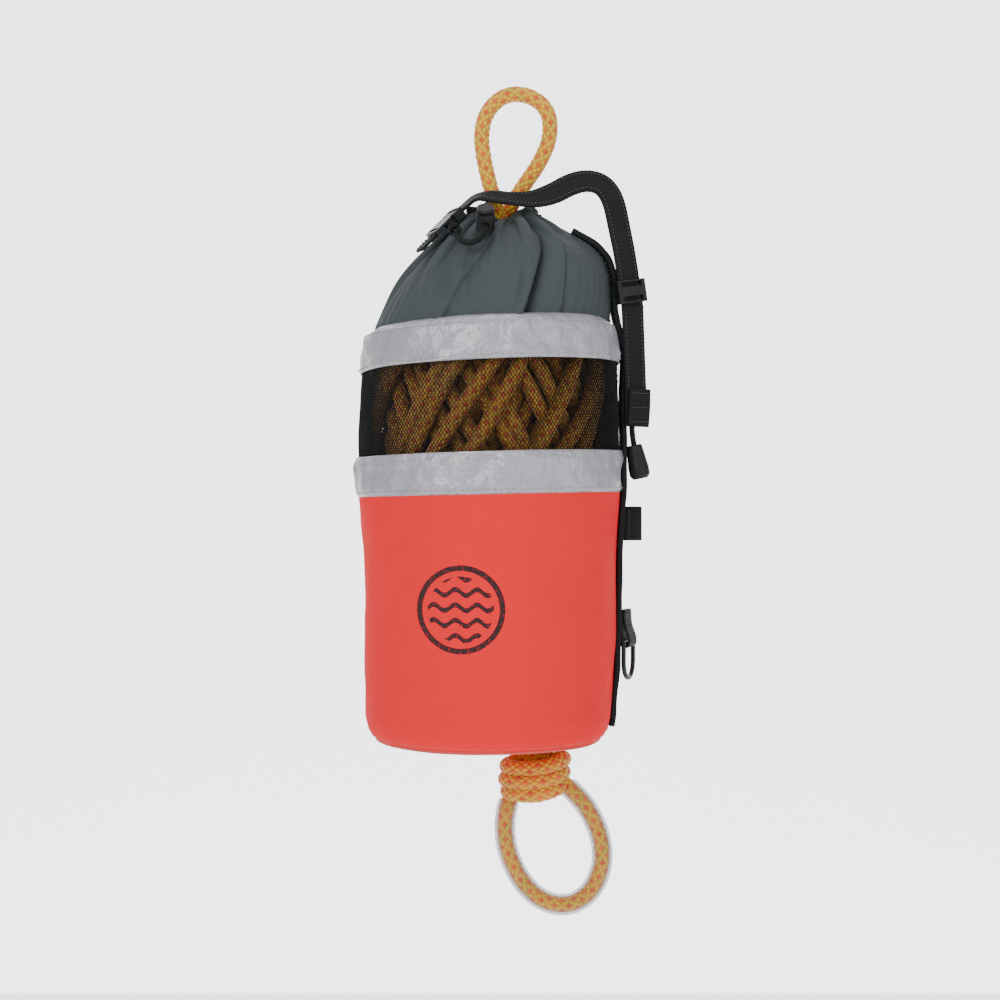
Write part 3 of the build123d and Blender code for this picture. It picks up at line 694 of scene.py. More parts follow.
def stitches(name, path, normals, material, length=0.0026, gap=0.0012, radius=0.00035, lift=0.0001):
    """A row of thread stitches lying on a surface along the path."""
    path = np.asarray(path, dtype=float)
    normals = np.asarray(normals, dtype=float)
    run = run_along(path)
    count = max(1, int(run[-1] / (length + gap)))
    points = []
    faces = []
    ring = 5
    along = np.array([0.0, 0.18, 0.5, 0.82, 1.0])
    rise = np.array([-0.5, 0.75, 1.0, 0.75, -0.5])
    fat = np.array([0.45, 0.9, 1.0, 0.9, 0.45])
    for k in range(count):
        start = (k + 0.5) * run[-1] / count - length / 2
        where = start + along * length
        centre = np.stack([np.interp(where, run, path[:, c]) for c in range(3)], axis=1)
        normal = np.stack([np.interp(where, run, normals[:, c]) for c in range(3)], axis=1)
        normal /= np.linalg.norm(normal, axis=1)[:, None]
        tangent = unit(centre[-1] - centre[0])
        first = len(points)
        for c, n, r, f in zip(centre, normal, rise, fat):
            side = unit(np.cross(tangent, n))
            for j in range(ring):
                a = tau * j / ring
                points.append(c + n * (lift + r * radius) + f * radius * (cos(a) * side + sin(a) * n))
        faces += quads(len(along), ring, first=first)
    piece = mesh_piece(name, points, faces)
    piece.data.materials.append(material)
    return piece


# ------------------------------------------------------------------ the bag's wall
BAG_X = -0.0175
FRONT = -pi / 2
WALL_Z = np.array([-0.3910, -0.386, -0.378, -0.365, -0.300, -0.2415, -0.190, -0.164, -0.138])
WALL_R = np.array([0.0682, 0.0732, 0.0748, 0.075, 0.077, 0.0796, 0.080, 0.079, 0.0746])
TILT_Z = np.array([-0.395, -0.2415, -0.151])
TILT = np.array([0.0, 0.0017, 0.0036])
PANEL_TOP = -0.229
COLLAR_START = -0.151
UPPER_BAND = (-0.164, -0.138)
LOWER_BAND = (-0.2415, -0.217)
AROUND = 240


def waves(angle, z, seed, most_turns=9, shortest=0.035, longest=0.2):
    """Smooth random hills of about unit height over the wall."""
    dice = np.random.default_rng(seed)
    total = np.zeros(np.broadcast(angle, z).shape)
    count = 10
    for _ in range(count):
        turns = dice.integers(1, most_turns + 1)
        pitch = dice.uniform(shortest, longest)
        phase = dice.uniform(0, tau)
        total += np.sin(turns * angle + tau * z / pitch * dice.choice([-1, 1]) + phase)
    return total / np.sqrt(count / 2)


def wall_radius(angle, z):
    """Distance of the sewn wall from the bag's middle line, with its soft sags."""
    sag = 0.0005 * waves(angle, z, 3, 7, 0.09, 0.3) + 0.00012 * waves(angle, z, 8, 22, 0.02, 0.06)
    pressed = 0.0005 * waves(angle, z, 21, 16, 0.03, 0.09) * np.exp(-(((z + 0.151) / 0.018) ** 2))
    return np.interp(z, WALL_Z, WALL_R) + sag + pressed


def wall(angle, z, out=0.0):
    """A point on the wall, or out from it. Every sewn part is placed with this."""
    angle, z = np.broadcast_arrays(np.asarray(angle, dtype=float), np.asarray(z, dtype=float))
    radius = wall_radius(angle, z) + out
    drop = np.interp(z, TILT_Z, TILT) * np.cos(angle)
    return np.stack([BAG_X + radius * np.cos(angle), radius * np.sin(angle), z + drop], axis=-1)


def outward(angle):
    angle = np.asarray(angle, dtype=float)
    return np.stack([np.cos(angle), np.sin(angle), np.zeros_like(angle)], axis=-1)


def turns(count=AROUND):
    """Angles round the wall, starting at the back so that the front has no seam."""
    return pi / 2 + tau * np.arange(count) / count


def wall_piece(name, heights, out, thickness, body="bag", crumple=0.0, **given):
    """A closed ring of cloth on the wall over these heights. out is how far it stands off the wall, for
    all the rows or for each. crumple is the height of its small dents, which die away at its edges."""
    rows = []
    for z, row_out in zip(heights, np.broadcast_to(out, len(heights))):
        z_row = np.full(AROUND, z)
        dents = 1 + 0.55 * waves(turns(), z_row, 12, 34, 0.02, 0.06)
        fade = np.clip(min(z - heights[0], heights[-1] - z) / 0.005, 0.1, 1) if crumple else 0
        rows.append(wall(turns(), z_row, row_out + crumple * fade * dents))
    grid = np.stack(rows)
    piece = grid_piece(name, grid, wrap=True)
    thicken(piece, thickness, offset=1.0)
    return finish_piece(piece, body, **given)


def ring_of_stitches(name, z, out, material, count=360, **sizes):
    angles = pi / 2 + tau * np.arange(count + 1) / count
    path = wall(angles, np.full(count + 1, z), out)
    return stitches(name, path, outward(angles), material, **sizes)


panel_heights = np.concatenate([np.linspace(-0.3910, -0.376, 9), np.linspace(-0.372, PANEL_TOP, 48)])
wall_piece(
    "coral_panel", panel_heights, 0.0, 0.001, replaced=("body_panel",), slot="coral_fabric", material=CORAL
)


def make_base():
    """The round bottom panel. It hangs a little under the load and is piped round its edge."""
    angles = turns()
    shares = [1.0, 0.985, 0.95, 0.88, 0.75, 0.6, 0.45, 0.3, 0.18, 0.105]
    rows = []
    for share in shares:
        radius = wall_radius(angles, np.full(AROUND, -0.3910)) * share
        ripples = 0.0004 * waves(angles, np.full(AROUND, share), 31, 7, 0.3, 0.9)
        hang = -0.3912 - 0.0034 * (1 - share ** 2) - ripples
        x = BAG_X + (0.028 * (1 - share) if share < 0.95 else 0.0) + radius * np.cos(angles)
        rows.append(np.stack([x, radius * np.sin(angles), hang], axis=-1))
    piece = grid_piece("bottom_panel", rows, wrap=True)
    thicken(piece, 0.001, offset=-1.0)
    finish_piece(piece, "bag", ("base_panel",), "base_fabric", BASE_CLOTH)
    edge = wall(np.append(angles, angles[0]), np.full(AROUND + 1, -0.3910), 0.0006)
    piping = tube("base_piping", edge, 0.0013, 8, cap=False)
    finish_piece(piping, "bag", slot="base_fabric", material=BASE_CLOTH)


make_base()
base_seam = ring_of_stitches("base_seam_stitches", -0.3885, 0.0012, CORAL_THREAD)
finish_piece(base_seam, "bag", slot="coral_fabric")


BAND_OUT = 0.0010
BAND_ROWS = 18
TUCK = (0.0007, -0.0004, -0.0020, -0.0042)  # how the upper band's top rows turn in to the collar


def make_band(name, node, low, high, tuck=()):
    """A ring of crumpled reflective tape, sewn along both edges."""
    heights = np.linspace(low, high, BAND_ROWS)
    out = np.full(BAND_ROWS, BAND_OUT)
    out[0] = BAND_OUT / 2
    out[BAND_ROWS - len(tuck):] = tuck
    wall_piece(
        name, heights, out, 0.0005, crumple=0.0009, replaced=(node,), slot="reflective_tape", material=TAPE
    )
    for edge, inset in (("low", low + 0.0022), ("high", high - 0.0042)):
        row = ring_of_stitches(f"{name}_{edge}_stitches", inset, 0.0022, SILVER_THREAD, radius=0.00028)
        finish_piece(row, "bag", slot="reflective_tape")


make_band("upper_silver_band", "upper_reflective_band", *UPPER_BAND, TUCK)
make_band("lower_silver_band", "lower_reflective_band", *LOWER_BAND)


# ------------------------------------------------------------------ net window
NET_LOW, NET_HIGH = -0.221, -0.160
SIDE_SHADE_SPAN = radians(23)
NET_STRANDS = 440
NET_CELL = 0.0017
NET_YARN = 0.00023


def make_net():
    """Knitted net: upright yarns that swing to meet each neighbour in turn."""
    steps = int(round((NET_HIGH - NET_LOW) / NET_CELL)) * 4
    z = np.linspace(NET_LOW, NET_HIGH, steps + 1)
    swing = np.array([0.46, 0.3, 0.0, -0.3, -0.46, -0.3, 0.0, 0.3])
    pitch = tau / NET_STRANDS
    points = []
    faces = []
    sides = 3
    for strand in range(NET_STRANDS):
        sway = swing[np.arange(steps + 1) % 8] * (1 if strand % 2 else -1)
        angle = pitch * (strand + sway)
        centre = wall(angle, z, -0.0004)
        normal = outward(angle)
        side = np.cross(normal, (0, 0, 1))
        first = len(points)
        for c, n, s in zip(centre, normal, side):
            for j in range(sides):
                turn = tau * (j + 0.5) / sides
                points.append(c + NET_YARN * (cos(turn) * s + 2.0 * sin(turn) * n))
        faces += quads(steps + 1, sides, first=first)
    piece = mesh_piece("net_window", points, faces)
    finish_piece(piece, "bag", ("mesh_window",), "mesh", NET)


make_net()


def make_window_side_shade():
    """A near-black sheet behind the net at both of the bag's sides: painted shade for the dark inside of the
    bag, seen edge-on through the net.
    """
    heights = np.linspace(LOWER_BAND[1] - 0.004, UPPER_BAND[0] + 0.004, 14)
    for name, middle in (("window_side_shade_right", 0.0), ("window_side_shade_left", pi)):
        angles = middle + np.linspace(-SIDE_SHADE_SPAN, SIDE_SHADE_SPAN, 40)
        grid = np.stack([wall(angles, np.full(len(angles), z), -0.0009) for z in heights])
        piece = grid_piece(name, grid)
        thicken(piece, 0.0003)
        finish_piece(piece, "bag", slot="mesh", material=SIDE_SHADE_CLOTH)


make_window_side_shade()


# ------------------------------------------------------------------ collar, gathered by a simulation
MOUTH = np.array([-0.010, 0.0, -0.0665])
COLLAR = np.array([  # height, middle, radius
    (-0.151, -0.0175, 0.0767), (-0.138, -0.0175, 0.0745), (-0.125, -0.0138, 0.0718),
    (-0.109, -0.0085, 0.0665), (-0.097, -0.0040, 0.0585), (-0.088, -0.0030, 0.0495),
    (-0.080, -0.0060, 0.0380), (-0.074, -0.0090, 0.0280), (-0.0705, -0.0100, 0.0220),
    (-0.0665, -0.0100, 0.0185),
])
COLLAR_COLUMNS = 200
COLLAR_ROWS = 44
FOLD_TOP = radians(-63)
FOLD_FOOT = radians(-79)
PLEATS = ((11, 0.9), (6, 1.0), (17, 0.5), (4, 0.8))  # how many round the collar, and how strong
SETTLE_STEPS = 220
DRAW_STEPS = 60  # the first steps, over which the drawcord closes the mouth
SETTLE_ROUNDS = 7
SAG_STEP = 0.000012


def collar_profile(count):
    """Height, middle and radius at an even step up the collar."""
    run = np.concatenate([[0], np.cumsum(np.hypot(np.diff(COLLAR[:, 0]), np.diff(COLLAR[:, 2])))])
    wanted = np.linspace(0, run[-1], count)
    return np.stack([np.interp(wanted, run, COLLAR[:, k]) for k in range(3)], axis=1), run[-1]


def turned_from(angles, line):
    """The signed angle from a line to each angle."""
    return (angles - line + pi) % tau - pi


def collar_start(profile, share, angles, deep, apart):
    """The collar before it settles: pleated, with one deep fold, and its foot sewn to the wall."""
    dice = np.random.default_rng(5)
    pleats = np.zeros((COLLAR_ROWS, COLLAR_COLUMNS))
    for count, strength in PLEATS:
        pleats += strength * np.sin(count * angles + dice.uniform(0, tau)) * share ** 2
    fold = deep * np.exp(-((apart / 0.07) ** 2))
    unevenness = 0.0006 * dice.standard_normal(pleats.shape)
    radius = profile[:, 2:] + 0.0022 * pleats - 0.011 * fold + unevenness
    heights = np.repeat(profile[:, :1], COLLAR_COLUMNS, axis=1)
    points = np.stack([profile[:, 1:2] + radius * np.cos(angles), radius * np.sin(angles), heights], axis=-1)
    points[0] = wall(angles, np.full(COLLAR_COLUMNS, COLLAR_START), -0.0006)
    return points


def drawn_mouth(angles):
    """The mouth's edge once the drawcord has closed it. It lies lowest at the front."""
    gather = 0.0185 + 0.0014 * np.sin(15 * angles + 0.6 * np.sin(2 * angles)) + 0.0007 * np.sin(24 * angles)
    dip = 0.0105 * np.exp(-((turned_from(angles, FRONT) / 0.7) ** 2))
    return np.stack([MOUTH[0] + gather * np.cos(angles), gather * np.sin(angles), MOUTH[2] - dip], axis=-1)


def pull(points, weight, a, b, rest, strength, push=1.0):
    """Moves each pair of points toward its rest length. push is how hard a short pair spreads."""
    gap = points[b] - points[a]
    size = np.linalg.norm(gap, axis=-1, keepdims=True) + 1e-12
    error = size - rest
    error = np.where(error < 0, error * push, error)
    step = strength * gap / size * error / np.maximum(weight[a] + weight[b], 1)
    points[a] += weight[a] * step
    points[b] -= weight[b] * step


def rest_on_rope(points, share, deep):
    """Keeps the cloth between the rope inside it and its slack, and flat under the side webbing."""
    centre = np.interp(points[..., 2], COLLAR[:, 0], COLLAR[:, 1])
    reach = np.interp(points[..., 2], COLLAR[:, 0], COLLAR[:, 2])
    dx = points[..., 0] - centre
    spread = np.hypot(dx, points[..., 1]) + 1e-9
    angle = np.arctan2(points[..., 1], dx)
    strapped = np.exp(-((angle / 0.26) ** 4))
    room_out = 0.0022 * (1 - strapped) - 0.0008 * strapped
    room_in = np.minimum(0.004 + 0.006 * share, 0.002 + 0.06 * share)
    room_in = room_in * (1 - strapped) + 0.0016 * strapped
    fold_line = np.interp(points[..., 2], [-0.127, -0.078], [FOLD_FOOT, FOLD_TOP])
    groove = 0.004 * deep * np.exp(-((turned_from(angle, fold_line) / 0.08) ** 2))
    factor = np.clip(spread, reach - room_in - groove, reach + room_out - groove) / spread
    factor[[0, -1]] = 1.0
    points[..., 0] = centre + dx * factor
    points[..., 1] *= factor
    lip = -0.0655 - 0.009 * np.exp(-(((angle - FRONT) / 0.75) ** 2))
    points[..., 2] = np.minimum(points[..., 2], lip)


def gather_collar():
    """Settles the collar cloth: sewn at its foot, drawn in at its mouth, lying on the rope inside it."""
    profile, height = collar_profile(COLLAR_ROWS)
    angles = turns(COLLAR_COLUMNS)
    share = np.linspace(0, 1, COLLAR_ROWS)[:, None]
    deep = np.clip((share - 0.08) * 3.0, 0, 1)
    apart = turned_from(angles, FOLD_FOOT + (FOLD_TOP - FOLD_FOOT) * share)
    spare = 1.0 + 0.05 * share + 0.16 * share ** 2 + 0.75 * share ** 5
    in_fold = 1 + 0.3 * deep * np.exp(-((apart / 0.09) ** 2))
    rest_across = (tau * profile[:, 2:] * spare / COLLAR_COLUMNS * in_fold)[..., None]
    rest_up = height / (COLLAR_ROWS - 1) * 1.02
    slant = np.hypot(rest_across, rest_up)
    points = collar_start(profile, share, angles, deep, apart)
    mouth = drawn_mouth(angles)
    weight = np.ones((COLLAR_ROWS, COLLAR_COLUMNS, 1))
    weight[[0, -1]] = 0

    rows = slice(None)
    whole = np.arange(COLLAR_COLUMNS)
    across_pairs = [
        ((rows, whole[first::2]), (rows, (whole[first::2] + 1) % COLLAR_COLUMNS)) for first in (0, 1)
    ]
    up_pairs = [
        (np.arange(first, COLLAR_ROWS - 1, 2), np.arange(first + 1, COLLAR_ROWS, 2)) for first in (0, 1)
    ]
    bend_sets = [whole[first::8] for first in range(8)]
    earlier = points.copy()
    for step in range(SETTLE_STEPS):
        moved = points + 0.93 * (points - earlier)
        moved[..., 2] -= SAG_STEP
        earlier = points.copy()
        points = np.where(weight > 0, moved, points)
        points[-1] += (mouth - points[-1]) * min(1.0, (step + 1) / DRAW_STEPS)
        for _ in range(SETTLE_ROUNDS):
            for a, b in across_pairs:
                pull(points, weight, a, b, rest_across[a], 0.9, 0.75)
            for low, high in up_pairs:
                pull(points, weight, low, high, rest_up, 0.9, 0.3)
                for shift in (1, -1):
                    slanted = np.ix_(high, (whole + shift) % COLLAR_COLUMNS)
                    pull(points, weight, np.ix_(low, whole), slanted, slant[low], 0.25, 0.15)
            for columns in bend_sets:
                far = (columns + 4) % COLLAR_COLUMNS
                pull(points, weight, (rows, columns), (rows, far), 3.7 * rest_across[:, columns], 0.05)
        rest_on_rope(points, share, deep)
    return points


def finer(points, rows_by, columns_by):
    """The same cloth on a finer grid, smoothed so that the simulation's steps don't show."""
    rows, columns = points.shape[:2]
    row_at = np.linspace(0, rows - 1, (rows - 1) * rows_by + 1)
    column_at = np.arange(columns * columns_by) / columns_by
    low = np.minimum(row_at.astype(int), rows - 2)
    share = (row_at - low)[:, None, None]
    dense = points[low] * (1 - share) + points[low + 1] * share
    left = column_at.astype(int)
    share = (column_at - left)[None, :, None]
    dense = dense[:, left] * (1 - share) + dense[:, (left + 1) % columns] * share
    for _ in range(10):
        dense = (np.roll(dense, 1, axis=1) + 2 * dense + np.roll(dense, -1, axis=1)) / 4
        dense[1:-1] = (dense[:-2] + 2 * dense[1:-1] + dense[2:]) / 4
    return dense


def lay_fold(points, foot, top, lip, depth, width, lowest=0.0):
    """Presses one fold into the collar: the cloth left of a line stands proud and laps the cloth
    right of it."""
    share = np.linspace(0, 1, len(points))[:, None]
    centre = np.interp(points[..., 2], COLLAR[:, 0], COLLAR[:, 1])
    dx = points[..., 0] - centre
    line = foot + (top - foot) * share + 0.02 * np.sin(7 * share)
    apart = turned_from(np.arctan2(points[..., 1], dx), line)
    here = np.clip((share - lowest) / 0.16, 0, 1) * (1 - share ** 8)
    right = 0.5 + 0.5 * np.tanh(apart / 0.009)
    proud = lip * np.exp(-((apart / (1.6 * width)) ** 2)) * (1 - right)
    sunk = depth * np.exp(-((apart / width) ** 2)) * right
    change = here * (proud - sunk)
    spread = np.hypot(dx, points[..., 1]) + 1e-9
    moved = points.copy()
    moved[..., 0] += dx / spread * change
    moved[..., 1] += points[..., 1] / spread * change
    return moved


def make_collar():
    cloth_points = finer(gather_collar(), 2, 4)
    cloth_points = lay_fold(cloth_points, FOLD_FOOT, FOLD_TOP, 0.0024, 0.0085, 0.12)
    cloth_points = lay_fold(cloth_points, radians(-58), radians(-48), 0.0010, 0.0022, 0.07, 0.12)
    cloth_points = lay_fold(cloth_points, radians(-118), radians(-100), 0.0008, 0.0015, 0.09, 0.0)
    piece = grid_piece("grey_collar", cloth_points, wrap=True)
    thicken(piece, 0.0008, offset=1.0)
    finish_piece(piece, "bag", ("collar",), "grey_fabric", GREY)
    ring = cloth_points[-1, ::2]
    closed = np.concatenate([ring, ring[:1]])
    hem = tube("gathered_hem", closed, 0.0027, 12, cap=False)
    finish_piece(hem, "bag", ("hem_casing",), "grey_fabric", GREY)
    cord_ring = tube("cord_in_hem", closed, 0.0016, 8, cap=False)
    finish_piece(cord_ring, "bag", ("drawcord_ring",), "black_cord", CORD)
    row = cloth_points[-7]
    normals = outward(turns(len(row))) + (0, 0, 0.9)
    seam = stitches("hem_stitches", np.concatenate([row, row[:1]]), np.concatenate([normals, normals[:1]]),
                    DARK_THREAD, lift=0.0008)
    finish_piece(seam, "bag", slot="grey_fabric")
    return cloth_points


COLLAR_CLOTH = make_collar()


# ------------------------------------------------------------------ ropes and cords
ROPE_R = 0.00475


def metres(route):
    """Points given in millimetres, as the CAD source gives them."""
    return [tuple(c * MM for c in point) for point in route]


TOP_LOOP = metres([
    (-10, -5.2, -82.8), (-12, -5.2, -69), (-17, -4.5, -52), (-21, -2.5, -35), (-23, -1, -18), (-19, 0, -3),
    (-7, 0, 7), (8, 0, 6), (19.5, 0.5, -3.5), (20.5, 1.5, -20), (14, 3, -35), (4, 4.5, -49), (-6, 5.2, -64),
    (-9.5, 5.2, -82.8),
])
BOTTOM_LOOP = metres([
    (-5.5, 0, -430.5), (-8.5, 0, -445), (-7, 0, -462), (1.5, 0, -481), (15, 0, -494), (32, 0, -497),
    (46, 0, -488), (53, 0, -471), (51.5, 0, -453), (44, 0, -437), (36.5, 0, -427.5),
])
PULL_CORD = metres([(70.2, -6.3, -187), (70, -6.3, -198), (70.8, -6.2, -208), (72.8, -5.8, -217.5)])
DRAWCORD = metres([
    (-19.3, -21.4, -66), (-19.5, -31.93, -69.57), (-19.5, -58.23, -88.27), (-25, -59.73, -94.77),
    (-33.5, -56.73, -94.27), (-37, -51.23, -88.77),
])


def braid_ripple(turn, run):
    """The strands of a braid standing up from a rope's surface."""
    right = turn * ROPE_STRANDS + run * ROPE_STRANDS / ROPE_LEAD
    left = turn * ROPE_STRANDS - run * ROPE_STRANDS / ROPE_LEAD
    ridge = np.abs(np.sin(pi * right)) * np.abs(np.sin(pi * left))
    return 0.0006 * ridge ** 0.6 - 0.00042


def braided(name, path, material, step=0.0006):
    """A rope with raised strands along the path, and the even path that it follows."""
    path = even(path, step)
    piece = tube(name, path, ROPE_R, 40, ripple=braid_ripple)
    piece.data.materials.append(material)
    return piece, path


def make_top_loop():
    piece, path = braided("top_loop_rope", smooth_path(TOP_LOOP, 24), ROPE)
    finish_piece(piece, "bag", ("top_rope_loop",), "rope", ROPE)


HOSE_R = 0.0065
HOSE_WALL = 0.0012
HOSE_SPAN = (0.055, 0.955)  # shares of the rope's length
IN_KNOT = [(-0.002, 0.0, -0.4215), (0.0245, 0.0, -0.4165)]  # where the loop's two ends enter the knot


def make_bottom_loop():
    """The grab loop, with its clear hose cut open at both ends."""
    piece, path = braided("bottom_loop_rope", smooth_path([IN_KNOT[0], *BOTTOM_LOOP, IN_KNOT[1]], 24), ROPE)
    finish_piece(piece, "grab_loop", ("bottom_rope_loop",), "rope", ROPE)
    share = np.linspace(0, 1, len(path))
    covered = path[(share > HOSE_SPAN[0]) & (share < HOSE_SPAN[1])]
    hose = tube("clear_hose_on_loop", even(covered, 0.0015), HOSE_R, 40, cap=False)
    thicken(hose, HOSE_WALL)
    finish_piece(hose, "grab_loop", ("loop_guard_tube",), "clear_hose", HOSE)


make_top_loop()
make_bottom_loop()


def knot_wraps(name, centre, widths, depth_share, pitch, lean, body, node, material=KNOT_ROPE, phase=0.0):
    """A stopper knot drawn tight: turns of rope lying over one another, each with its own radius."""
    count = len(widths) - 1
    turn = np.linspace(0, count, 60 * count + 1)
    width = np.interp(turn, range(count + 1), widths)
    angle = tau * turn + phase
    x = width * np.cos(angle)
    y = width * depth_share * np.sin(angle)
    z = -pitch * (turn - count / 2) + 0.0012 * np.sin(2.0 * angle + 1.0)
    tilt = lean * x
    path = np.stack([centre[0] + x, centre[1] + y, centre[2] + z + tilt], axis=-1)
    start = path[0] + [-x[0] * 0.85, -y[0] * 0.85, 0.006]
    finish = path[-1] + [-x[-1] * 0.85, -y[-1] * 0.85, -0.004]
    path = smooth_path(np.concatenate([[start], path[::6], [finish]]), 10)
    piece, _ = braided(name, path, material, step=0.0007)
    return finish_piece(piece, body, (node,), "rope", material)


knot_wraps("outer_knot_wraps", (0.0105, 0.0, -0.4155), [0.0175, 0.0192, 0.0185, 0.0160], 0.82, 0.0080, 0.24,
           "knot", "outer_knot", phase=0.9)
knot_wraps("inner_knot_wraps", (0.0105, 0.0, -0.3385), [0.011, 0.012, 0.011], 0.95, 0.0060, 0.08,
           "bag", "inner_stopper_knot")
knot_wraps("loop_knot_wraps", (-0.011, 0.0, -0.098), [0.0055, 0.006, 0.0062, 0.005], 0.95, 0.0075, 0.05,
           "bag", "hand_loop_knot")


def make_base_rope():
    """The rope that runs from the inner knot, through the foam and grommet, into the outer knot."""
    path = [(0.0105, 0.0, -0.350), (0.0107, 0.0, -0.375), (0.0105, 0.0, -0.399)]
    piece, _ = braided("rope_through_base", smooth_path(path, 12), ROPE)
    finish_piece(piece, "bag", ("base_rope",), "rope", ROPE)


make_base_rope()

# how far each layer's middle lies in from the wall, how steeply it slants, and its number of flakes
PACK_LAYERS = [
    (0.0063, 0.98, 30), (0.0163, -0.9, 26), (0.0263, 0.80, 22), (0.0363, -0.84, 17), (0.0463, 0.9, 15),
    (0.0563, -1.0, 10),
]
# steps between the outer layer's flakes; where one is long, the layer behind it shows
PACK_GAPS = (1.0, 1.0, 2.3, 1.0, 1.0, 1.0, 3.0)
PACK_LOW, PACK_HIGH = -0.3125, -0.1590
PACK_SHOULDER = (-0.166, -0.150, 0.0045)  # where the pack draws in below the collar, and how far
PACK_STEP = 0.0038


def pack_route():
    """The rope flaked into the bag: each layer runs up and down the wall in slanting bights,
    and the next layer inside it slants the other way."""
    route = []
    flake_points = 9
    shoulder_low, shoulder_high, drawn_in = PACK_SHOULDER
    for layer, (inset, slant, flakes) in enumerate(PACK_LAYERS):
        radius = 0.078 - inset
        gaps = PACK_GAPS if layer == 0 else (1.0,)
        flakes_here = int(flakes * len(gaps) / sum(gaps))
        gap = tau / flakes
        place = 0.0
        high = PACK_HIGH + 0.010 * (layer > 1)
        rise = high - PACK_LOW
        for flake in range(flakes_here):
            share = np.linspace(0, 1, flake_points)
            if flake % 2:
                share = share[::-1]
            wobble = 0.06 * np.sin(2.3 * flake + 5.1 * share) + 0.05 * np.sin(0.9 * flake + 2.0)
            angle = place + slant * share * rise / radius * 0.62 + wobble * gap * 3.0
            ends = 0.005 * np.sin(3.7 * flake + layer)
            z = PACK_LOW + share * rise + ends * (2 * share - 1)
            sway = np.interp(z, WALL_Z, WALL_R) - inset - 0.0009 * (1 + np.sin(1.7 * flake + 4 * share))
            sway -= drawn_in * np.clip((z - shoulder_low) / (shoulder_high - shoulder_low), 0, 1)
            route += list(zip(angle, z, sway))
            way = 1 if flake % 2 == 0 else -1
            step = gap * gaps[flake % len(gaps)]
            route.append((angle[-1] + step / 2, z[-1] + 0.0045 * way, sway[-1]))
            place += step
    angle, height, radius = np.array(route).T
    return np.stack([BAG_X + radius * np.cos(angle), radius * np.sin(angle), height], axis=-1)


def make_rope_pack():
    top = [(-0.011, 0.0, -0.118), (-0.012, -0.02, -0.130), (0.010, -0.040, -0.136)]
    flaked = pack_route()
    end = [flaked[-1] * (0.6, 0.6, 1) + (0, 0, -0.004), (0.004, 0.0, -0.322), (0.0105, 0.0, -0.331)]
    first = flaked[0]
    lead = [(first[0], first[1] - 0.03, PACK_HIGH + 0.006), (first[0], first[1] - 0.004, PACK_HIGH)]
    path = smooth_path(np.concatenate([top, lead, flaked, end]), 6)
    path = even(path, PACK_STEP)
    piece = tube("packed_rope", path, ROPE_R - 0.0001, 10)
    # the packed rope wears the painted-shade copy of the rope yarn
    finish_piece(piece, "bag", ("rope_pack",), "rope", SHADED_PACKED_ROPE)


make_rope_pack()


def make_small_cord(name, route, radius, body, node, others=()):
    path = even(smooth_path(route, 16), 0.0006)
    piece = tube(name, path, radius, 16)
    finish_piece(piece, body, (node,), "black_cord", CORD)
    return piece


def make_cord_knot():
    """The small overhand knot at the drawcord's free end."""
    end = np.array(DRAWCORD[-1])
    turn = np.linspace(0, 1, 40)
    angle = tau * turn * 1.9
    loop = np.stack([
        end[0] - 0.0006 + 0.0023 * np.cos(angle), end[1] + 0.0036 + 0.0020 * np.sin(2 * angle),
        end[2] + 0.0034 + 0.0023 * np.sin(angle),
    ], axis=-1)
    piece = tube("drawcord_end_knot", loop, 0.0017, 12)
    return finish_piece(piece, "bag", ("drawcord_knot",), "black_cord", CORD)


PULL_CORD_R = 0.00175
DRAWCORD_R = 0.0019
make_small_cord(
    "pull_cord_braid", PULL_CORD, PULL_CORD_R, "pull", "pull_cord", ["cord_end"]
)
make_small_cord(
    "drawcord_braid", DRAWCORD, DRAWCORD_R, "bag", "drawcord", [make_cord_knot()]
)


# ------------------------------------------------------------------ foam float and its cover
def make_float():
    """A thick foam disc with soft rims and a hole for the rope, and the lining sewn over it."""
    profile = [(0.0075, -0.3905), (0.050, -0.3915), (0.0655, -0.3905), (0.0695, -0.3865), (0.0700, -0.372),
               (0.0695, -0.3585), (0.0665, -0.3535), (0.050, -0.3522), (0.0075, -0.3522), (0.0068, -0.3535),
               (0.0068, -0.3895), (0.0075, -0.3905)]
    angles = turns(96)
    rows = []
    for share, (radius, z) in zip(np.linspace(0, 1, len(profile)), profile):
        near = np.clip((0.0700 - radius) / 0.0632, 0, 1)
        centre = BAG_X + 0.028 * near
        wavy = radius + 0.0005 * np.sin(3 * angles + 4 * share) * (radius > 0.02)
        heights = np.full(len(angles), z)
        rows.append(np.stack([centre + wavy * np.cos(angles), wavy * np.sin(angles), heights], axis=-1))
    piece = grid_piece("foam_float_disc", rows, wrap=True)
    finish_piece(piece, "bag", ("foam_float",), "foam", FOAM)
    cover_rows = []
    for radius in (0.0082, 0.02, 0.035, 0.05, 0.062, 0.0700):
        near = np.clip((0.0700 - radius) / 0.0618, 0, 1)
        x = BAG_X + 0.028 * near + radius * np.cos(angles)
        z = -0.3508 + 0.0005 * np.sin(4 * angles + radius * 90)
        cover_rows.append(np.stack([x, radius * np.sin(angles), z], axis=-1))
    cover = grid_piece("float_lining", cover_rows, wrap=True)
    thicken(cover, 0.0009, offset=-1.0)
    finish_piece(cover, "bag", ("float_cover",), "lining_fabric", LINING)


make_float()


